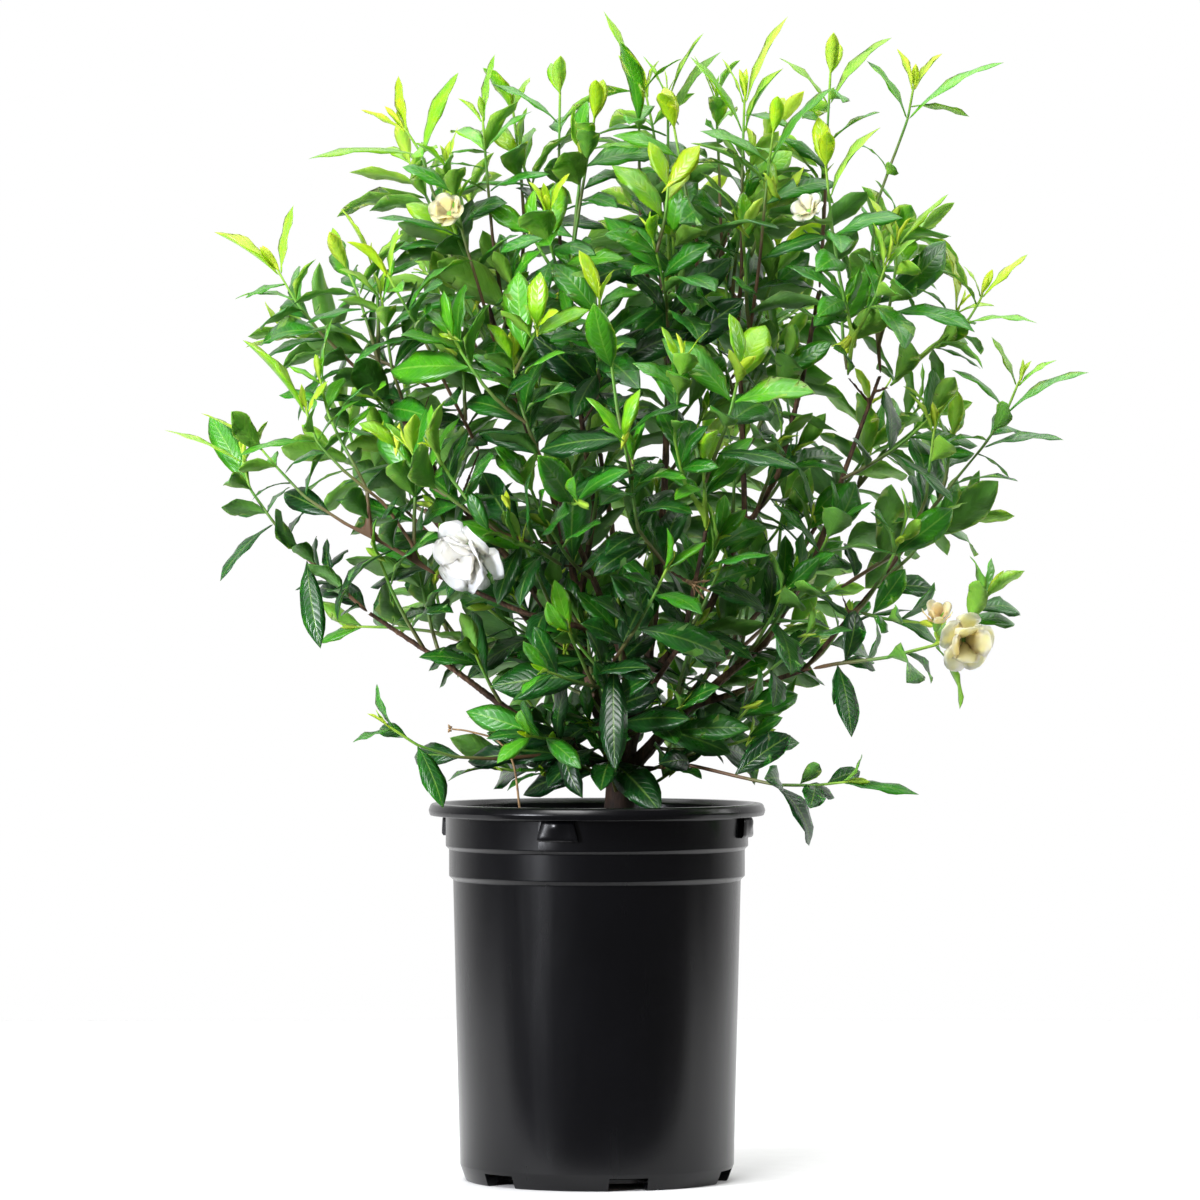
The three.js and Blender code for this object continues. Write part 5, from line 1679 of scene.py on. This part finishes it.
def sprig(start, out, along, dice, room, carrier):
    """A short shoot: its path, pairs of blades and freshness, or None where it has no room."""
    path, length, way = sprig_path(start, out, along, dice, SPRIG_SUNK[carrier])
    if crown_share(path[-1]) > 0.97 or room.blocked(path[2:], 2.5 * MM, start, 16 * MM):
        return None
    low = low_share(start)
    blades = []
    side = any_side(way, dice)
    fresh = SPRIG_FRESH[carrier] * dice.random()
    for back, size, spread in SPRIG_PAIRS:
        reach = length - back * MM
        if reach < 8 * MM:
            break
        t = reach / length * SPRIG_STEPS
        k = min(SPRIG_STEPS - 1, int(t))
        seat = path[k].lerp(path[k + 1], t - k)
        heading = (path[k + 1] - path[k]).normalized()
        side = (side - heading * side.dot(heading)).normalized()
        for sign in (1, -1):
            # older leaves are oftener missing
            if dice.random() > 0.96 - 0.004 * back:
                continue
            branch = side * sign
            lean = spread + dice.uniform(-0.15, 0.15)
            droop = UP * (0.0042 * back + 0.35 * low)
            leaf_way = branch * math.sin(lean) + heading * math.cos(lean) - droop
            long = size * dice.uniform(0.8, 1.15) * MM
            face = lit_face(seat, heading, dice)
            width = long * dice.uniform(0.36, 0.46)
            bend = dice.uniform(0.35, 1.0)
            fold = dice.uniform(0.1, 0.36)
            leaf = Blade(seat + branch * 0.8 * MM, leaf_way, face, long, width, bend, fold)
            points = blade_points(leaf)
            if room.blocked(points, 0.15 * leaf.width, leaf.foot, 9 * MM) or not in_crown(leaf.at(1.0), 1.08):
                continue
            leaf.tint = tint_of(back * MM, leaf.foot, fresh, dice)
            room.take(points, 0.15 * leaf.width)
            blades.append(leaf)
        side = heading.cross(side)
    if len(blades) < FEWEST_LEAVES:
        return None
    room.take(path, 2 * MM)
    return path, blades, fresh


def filler(seat, dice, room, tips):
    """One leaf on an older stretch of stem, or None where it has no room."""
    centre, out, along = seat
    distance = min(((centre - tip).length for tip in tips), default=0.1)
    share = crown_share(centre)
    airy = share > AIRY_SHARE or centre.z > AIRY_HEIGHT * MM
    if distance < FILLER_CLEAR * MM or (airy and dice.random() < AIRY_CHANCE):
        return None
    small = FILLER_SMALL if distance < 30 * MM or share > 0.95 else 1.0
    for _ in range(FILLER_TRIES):
        lean = dice.uniform(0.75, 1.3)
        size = dice.uniform(*FILLER_LENGTHS) * MM * small
        droop = UP * (dice.uniform(0.0, 0.45) + 0.5 * low_share(centre))
        way = out * math.sin(lean) + along * math.cos(lean) - droop + jitter(dice, 0.25)
        face = lit_face(centre, along, dice)
        width = size * dice.uniform(0.36, 0.47)
        bend = dice.uniform(0.5, 1.2)
        fold = dice.uniform(0.1, 0.36)
        leaf = Blade(centre - out * 0.6 * MM, way, face, size, width, bend, fold)
        if not (in_crown(leaf.at(1.0), max(1.0, share + 0.15)) and in_box(leaf.at(1.0))):
            continue
        points = blade_points(leaf)
        if room.blocked(points, 0.2 * leaf.width, leaf.foot, 8 * MM):
            continue
        leaf.tint = tint_of(distance, leaf.foot, 0.0, dice)
        room.take(points, 0.2 * leaf.width)
        return leaf
    return None


def bud_leaves(tip, carriers, dice, fresh):
    """Two small leaves that stand up round the bud at the end of a shoot."""
    nearest = min(carriers, key=lambda blade: (blade.foot - tip).length)
    way = (tip - nearest.foot).normalized()
    side = any_side(way, dice)
    leaves = []
    for sign in (1, -1):
        size = dice.uniform(15, 27) * MM
        leaf_way = way + side * sign * dice.uniform(0.14, 0.34)
        width = size * dice.uniform(0.26, 0.34)
        fold = dice.uniform(0.35, 0.7)
        leaf = Blade(tip - way * 8 * MM, leaf_way, side * -sign, size, width, 0.25, fold)
        leaf.tint = max(0.0, 0.24 - 0.26 * fresh + dice.uniform(-0.05, 0.05))
        leaves.append(leaf)
    return leaves


def stem_mesh(name, shell, tips):
    """The bare stem of a branch, rounded, with its age as an attribute."""
    bmesh.ops.recalc_face_normals(shell, faces=shell.faces)
    piece = new_object(name, mesh_of(name, shell))
    round_off = piece.modifiers.new("Round", "SUBSURF")
    round_off.levels = round_off.render_levels = 1
    bake_modifiers(piece)
    shade_smooth(piece.data)
    tints = []
    for vertex in piece.data.vertices:
        distance = min((vertex.co - tip).length for tip in tips)
        tints.append(min(1.0, 0.05 + distance / (STEM_OLD_DISTANCE * MM)))
    add_attributes(piece.data, {"tint": tints})
    return piece


def stem_lines(name, lines):
    """Paths with a radius and a tint at each place, as edges that the tree turns into stems."""
    places, edges, radii, tints = [], [], [], []
    for path, widths, ages in lines:
        edges.extend((k, k + 1) for k in range(len(places), len(places) + len(path) - 1))
        places.extend(path)
        radii.extend(widths)
        tints.extend(ages)
    mesh = mesh_from(name, places, [], edges)
    add_attributes(mesh, {"radius_mm": radii, "tint": tints})
    return mesh


def blade_cloud(name, blades, dice):
    """The points that the tree turns into leaves."""
    for blade in blades:
        blade.curl = dice.uniform(0.0, 0.32)
        blade.phase = dice.random()
        blade.tone = dice.uniform(0.8, 1.18)
    mesh = mesh_from(name, [blade.foot for blade in blades], [])
    keys = ("foot", "way", "face", "length", "width", "bend", "fold", "curl", "phase", "tint", "tone")
    add_attributes(mesh, {key: [getattr(blade, key) for blade in blades] for key in keys})
    return bpy.data.objects.new(name, mesh)


def join_into(piece, other):
    """Adds another object's mesh to a piece, with its materials."""
    both = [piece, other]
    with bpy.context.temp_override(
        active_object=piece, object=piece, selected_objects=both, selected_editable_objects=both
    ):
        bpy.ops.object.join()


class GARDENIA_OT_foliage(bpy.types.Operator):
    """Turns every blade of the solids into a fine leaf and fills the crown between them"""

    bl_idname = "gardenia.add_foliage"
    bl_label = "Add foliage"

    def execute(self, context):
        settings = context.scene.gardenia_foliage
        dice = random.Random(settings.seed)
        room = Room()
        nodes = sorted(node for node in frame["nodes"] if node.startswith("branch_"))
        branches = {node: self.dressed_branch(node, dice, room) for node in nodes}
        for bloom in BLOOMS.values():
            room.take(bloom_room(bloom["foot"], bloom["face"], bloom["reach"]), 12 * MM)
        room.take(bloom_room(DRY_CALYX_FOOT, (0, -1, 0), 12), 12 * MM)
        self.add_sprigs(branches, settings, dice, room)
        self.add_fillers(branches, settings, dice, room)
        tree = blades_tree()
        leaf_material = leaf_skin(settings)
        stem_material = green_stem()
        values = {
            "Leaf": blade_template("leaf", LEAF_RINGS, leaf_material),
            "Ripple": settings.ripple,
            "Stem sides": 7,
            "Leaf material": leaf_material,
            "Stem material": stem_material,
        }
        for node, branch in branches.items():
            name = node.replace("branch_", "foliage_")
            values["Blades"] = blade_cloud(name + "_points", branch["blades"], dice)
            lines = []
            for path in branch["sprigs"]:
                count = len(path)
                lines.append((path, np.linspace(*SPRIG_RADII, count), np.linspace(*SPRIG_TINTS, count)))
            piece = new_object(name, stem_lines(name + "_lines", lines))
            run_tree(piece, tree, values)
            stem = stem_mesh(name + "_stem", branch["shell"], branch["tips"])
            stem.data.materials.append(stem_material)
            join_into(piece, stem)
            shade_smooth(piece.data)
            dress(piece, "leaf", node)
        return {"FINISHED"}

    def dressed_branch(self, node, dice, room):
        """Reads a branch of the solids, colours its blades and adds the leaves of its buds."""
        blades, tips, shell = read_branch(node)
        if not blades:
            raise RuntimeError("no blades were found in " + node)
        tips = tips or [blades[0].at(1.0)]
        fresh = [dice.random() for _ in tips]
        for blade in blades:
            blade.turn_to(UP * 0.6 + outward(blade.foot) * 0.8)
            room.take(blade_points(blade), 0.2 * blade.width)
            distance, nearest = min(((blade.foot - tip).length, k) for k, tip in enumerate(tips))
            blade.tint = tint_of(distance - 6 * MM, blade.foot, fresh[nearest], dice)
        for tip, freshness in zip(tips, fresh):
            blades.extend(bud_leaves(tip, list(blades), dice, freshness))
        room.take([v.co.copy() for v in shell.verts], 1.2 * MM)
        return {"blades": blades, "tips": tips, "shell": shell, "sprigs": []}

    def add_sprigs(self, branches, settings, dice, room):
        """Grows short shoots from the wood and from the older stems."""
        wood = welded("trunk")
        names = sorted(branches)
        for _ in range(settings.sprigs):
            chance = dice.random()
            if chance < WOOD_CHANCE:
                carrier = "wood"
                high = next(height for limit, height in WOOD_HEIGHTS if chance < limit)
                start, out, along = stem_seats(wood, dice, 1, WOOD_FOOT, high)[0]
            else:
                carrier = "stem"
                home = dice.choice(names)
                start, out, along = stem_seats(branches[home]["shell"], dice, 1)[0]
            if start.z > AIRY_HEIGHT * MM and dice.random() < AIRY_SPRIG_CHANCE:
                continue
            grown = sprig(start, out, along, dice, room, carrier)
            if grown is None:
                continue
            path, blades, fresh = grown
            if carrier == "wood":
                home = min(names, key=lambda n: min((b.foot - start).length for b in branches[n]["blades"]))
            branches[home]["sprigs"].append(path)
            branches[home]["blades"].extend(blades)
            branches[home]["blades"].extend(bud_leaves(path[-1], blades, dice, fresh))
        wood.free()

    def add_fillers(self, branches, settings, dice, room):
        """Puts single leaves where the stems are bare."""
        names = sorted(branches)
        share = settings.fillers // len(names)
        for node in names:
            branch = branches[node]
            for seat in stem_seats(branch["shell"], dice, share):
                leaf = filler(seat, dice, room, branch["tips"])
                if leaf:
                    branch["blades"].append(leaf)


# Blooms


def whorl_blades(bloom, dice):
    """The petals of a flower, whorl by whorl round its face."""
    axis = Vector(bloom["face"]).normalized()
    foot = place(bloom["foot"]) + axis * (BLOOM_GAP + TUBE_LENGTH) * MM
    petals = []
    for row, (count, long, wide, lean, bend) in enumerate(bloom["whorls"]):
        for k in range(count):
            out = spoke(axis, 2 * math.pi * (k + 0.5 * (row % 2) + dice.uniform(-0.1, 0.1)) / count)
            tilt = lean + dice.uniform(-0.12, 0.12)
            way = out * math.sin(tilt) + axis * math.cos(tilt)
            face = axis * math.sin(tilt) - out * math.cos(tilt)
            length = bloom["reach"] * long * dice.uniform(0.92, 1.08) * MM
            width = bloom["reach"] * wide * dice.uniform(0.92, 1.08) * MM
            seat = foot + out * (1.2 + 0.3 * row) * MM + axis * (1.2 * row - 1) * MM
            arch = bend + dice.uniform(-0.2, 0.2)
            petal = Blade(seat, way, face, length, width, arch, dice.uniform(0.05, 0.22))
            petal.tint = min(1.0, bloom["tint"] + dice.uniform(0.0, 0.06))
            petals.append(petal)
    return petals


def calyx_blades(foot, axis, dice, size, tint):
    """The narrow lobes round the foot of a flower."""
    lobes = []
    for k in range(LOBES):
        out = spoke(axis, 2 * math.pi * (k + dice.uniform(-0.15, 0.15)) / LOBES)
        way = axis + out * dice.uniform(0.35, 0.8)
        length = size * dice.uniform(0.8, 1.15) * MM
        lobes.append(Blade(foot + out * 1.6 * MM, way, -out, length, 2.4 * MM, 0.4, 0.3, tint))
    return lobes


class GARDENIA_OT_blooms(bpy.types.Operator):
    """Opens the flowers petal by petal on their green tubes"""

    bl_idname = "gardenia.add_blooms"
    bl_label = "Add blooms"

    def execute(self, context):
        settings = context.scene.gardenia_blooms
        dice = random.Random(settings.seed)
        tree = blades_tree()
        petal_material = petal_skin(settings)
        leaf_material = bpy.data.materials["gardenia leaf"]
        petal = blade_template("petal", PETAL_RINGS, petal_material)
        lobe = blade_template("calyx_lobe", LEAF_RINGS, leaf_material)
        values = {
            "Ripple": settings.ripple,
            "Stem sides": 10,
            "Stem material": bpy.data.materials["green stem"],
        }
        for name, bloom in BLOOMS.items():
            axis = Vector(bloom["face"]).normalized()
            foot = place(bloom["foot"]) + axis * BLOOM_GAP * MM
            end = foot + axis * (TUBE_LENGTH + 1) * MM
            path = [foot, foot.lerp(end, 0.5), end]
            tube = (path, (1.9, 3.4, bloom["reach"] * 0.22), [TUBE_TINT] * len(path))
            piece = new_object(name + "_fine", stem_lines(name + "_tube", [tube]))
            petals = blade_cloud(name + "_petals", whorl_blades(bloom, dice), dice)
            values.update({"Blades": petals, "Leaf": petal, "Leaf material": petal_material})
            run_tree(piece, tree, values)
            calyx = new_object(name + "_calyx", stem_lines(name + "_no_tube", []))
            lobes = calyx_blades(foot + axis * 3 * MM, axis, dice, LOBE_LENGTH, LOBE_TINT)
            cloud = blade_cloud(name + "_lobes", lobes, dice)
            values.update({"Blades": cloud, "Leaf": lobe, "Leaf material": leaf_material})
            run_tree(calyx, tree, values)
            join_into(piece, calyx)
            shade_smooth(piece.data)
            dress(piece, frame_slot(name), name)
        return {"FINISHED"}


def frame_slot(node):
    """The record's material slot of a node."""
    return next(part["material_slot"] for part in frame["record"]["subparts"] if part["node"] == node)


class GARDENIA_OT_dry_bits(bpy.types.Operator):
    """Adds the dry stalk that leans out of the mix and the calyx of a fallen flower"""

    bl_idname = "gardenia.add_dry_bits"
    bl_label = "Add dry stalk and calyx"

    def execute(self, context):
        dice = random.Random(DRY_SEED)
        straw = dry_straw()
        values = {
            "Leaf": blade_template("dry_lobe", LEAF_RINGS, straw),
            "Ripple": 0.1,
            "Stem sides": 8,
            "Leaf material": straw,
            "Stem material": straw,
        }
        knots = [place(point) for point in DRY_STALK]
        stalk = smooth_path(knots, DRY_STALK_STEPS)
        foot = place(DRY_CALYX_FOOT)
        axis = Vector(DRY_CALYX_FACE).normalized()
        cup = [foot - axis * 6 * MM, foot, foot + axis * 8 * MM]
        bits = (
            (
                "dry_stalk",
                (stalk, np.linspace(*DRY_STALK_RADII, len(stalk))),
                (knots[-1], (knots[-1] - knots[-2]).normalized(), DRY_STALK_LOBE),
            ),
            ("dry_calyx", (cup, (1.4, 1.5, 2.6)), (foot + axis * 7 * MM, axis, DRY_CALYX_LOBE)),
        )
        tree = blades_tree()
        for name, (path, radii), (seat, way, size) in bits:
            piece = new_object(name, stem_lines(name + "_line", [(path, radii, [DRY_TINT] * len(path))]))
            lobes = calyx_blades(seat, way, dice, size, DRY_TINT)
            values["Blades"] = blade_cloud(name + "_lobes", lobes, dice)
            run_tree(piece, tree, values)
            shade_smooth(piece.data)
            dress(piece, "bark")
        return {"FINISHED"}


def smooth_path(knots, steps):
    """A smooth path through the knots, with even steps between them."""
    ends = (knots[0] * 2 - knots[1], knots[-1] * 2 - knots[-2])
    points = [ends[0], *knots, ends[1]]
    path = [knots[0].copy()]
    for p, q, r, s in zip(points, points[1:], points[2:], points[3:]):
        square = 2 * p - 5 * q + 4 * r - s
        cube = 3 * q - p - 3 * r + s
        for k in range(1, steps + 1):
            t = k / steps
            path.append(0.5 * ((2 * q) + (r - p) * t + square * t * t + cube * t ** 3))
    return path


# Stage


def add_lamp(name, power, where, target, size, colour):
    """Hangs a lamp and points it at its target."""
    lamp = bpy.data.lights.new(name, "AREA")
    lamp.shape = "RECTANGLE"
    lamp.size, lamp.size_y = size
    lamp.energy = power
    lamp.color = linear(colour)[:3]
    holder = bpy.data.objects.new(name, lamp)
    holder.location = where
    holder.rotation_euler = (Vector(target) - Vector(where)).to_track_quat("-Z", "Y").to_euler()
    bpy.context.scene.collection.objects.link(holder)


def studio(room):
    """The light all round: even behind the plant and over it, and dim before it."""
    world = bpy.data.worlds.new("studio")
    world.use_nodes = True
    sky = world.node_tree
    way = add_node(sky, "ShaderNodeTexCoord").outputs["Generated"]
    parts = add_node(sky, "ShaderNodeSeparateXYZ", {0: way})
    strength = add_node(
        sky,
        "ShaderNodeMapRange",
        {"Value": parts.outputs["Y"], "From Min": 0.1, "From Max": 0.75, "To Min": room, "To Max": 1.0},
    )
    background = sky.nodes["Background"]
    background.inputs["Color"].default_value = (1.0, 1.0, 1.0, 1.0)
    sky.links.new(strength.outputs[0], background.inputs["Strength"])
    return world


class GARDENIA_OT_stage(bpy.types.Operator):
    """Sets the pale floor, the soft lamps and the camera of the photograph"""

    bl_idname = "gardenia.add_stage"
    bl_label = "Add stage"

    def execute(self, context):
        scene = context.scene
        settings = scene.gardenia_stage
        half = settings.floor / 2
        near = -FLOOR_FRONT * MM
        far = near + settings.floor
        corners = [(-half, near, 0), (half, near, 0), (half, far, 0), (-half, far, 0)]
        floor = new_object("floor", mesh_from("floor", corners, [(0, 1, 2, 3)]))
        floor.data.materials.append(white_paper())
        scene.world = studio(settings.room)
        for name, lamp in LAMPS.items():
            add_lamp(name, getattr(settings, name), *lamp)
        camera = bpy.data.cameras.new("camera")
        camera.lens = CAMERA_LENS
        camera.sensor_width = CAMERA_SENSOR
        camera.clip_end = 100
        holder = new_object("camera", camera)
        holder.location = (CAMERA_X * MM, -CAMERA_DISTANCE * MM, CAMERA_HEIGHT * MM)
        holder.rotation_euler = (math.pi / 2, 0, 0)
        scene.camera = holder
        scene.view_settings.view_transform = "Standard"
        return {"FINISHED"}


class GARDENIA_PT_panel(bpy.types.Panel):
    """Lists the pieces of the potted gardenia"""

    bl_idname = "GARDENIA_PT_panel"
    bl_label = "Potted gardenia"
    bl_space_type = "VIEW_3D"
    bl_region_type = "UI"
    bl_category = "Gardenia"

    def draw(self, context):
        for operator, settings in PANEL_ROWS:
            box = self.layout.box()
            box.operator(operator.bl_idname)
            if settings:
                group = getattr(context.scene, settings)
                for key in group.__annotations__:
                    box.prop(group, key)


PANEL_ROWS = (
    (GARDENIA_OT_can, "gardenia_can"),
    (GARDENIA_OT_mix, "gardenia_mix"),
    (GARDENIA_OT_wood, "gardenia_wood"),
    (GARDENIA_OT_foliage, "gardenia_foliage"),
    (GARDENIA_OT_blooms, "gardenia_blooms"),
    (GARDENIA_OT_dry_bits, None),
    (GARDENIA_OT_stage, "gardenia_stage"),
)
SETTINGS = {
    "gardenia_can": CanSettings,
    "gardenia_mix": MixSettings,
    "gardenia_wood": WoodSettings,
    "gardenia_foliage": FoliageSettings,
    "gardenia_blooms": BloomSettings,
    "gardenia_stage": StageSettings,
}
CLASSES = (*SETTINGS.values(), *(row[0] for row in PANEL_ROWS), GARDENIA_PT_panel)


def register():
    """Registers the classes and puts the settings on the scene."""
    for cls in CLASSES:
        bpy.utils.register_class(cls)
    for name, cls in SETTINGS.items():
        setattr(bpy.types.Scene, name, bpy.props.PointerProperty(type=cls))


def unregister():
    """Takes the settings off the scene and unregisters the classes."""
    for name in SETTINGS:
        delattr(bpy.types.Scene, name)
    for cls in reversed(CLASSES):
        bpy.utils.unregister_class(cls)


def main():
    """Builds every piece in order."""
    register()
    bpy.ops.gardenia.add_stage()
    bpy.ops.gardenia.add_can()
    bpy.ops.gardenia.add_mix()
    bpy.ops.gardenia.add_wood()
    bpy.ops.gardenia.add_foliage()
    bpy.ops.gardenia.add_blooms()
    bpy.ops.gardenia.add_dry_bits()


if __name__ == "__main__":
    main()
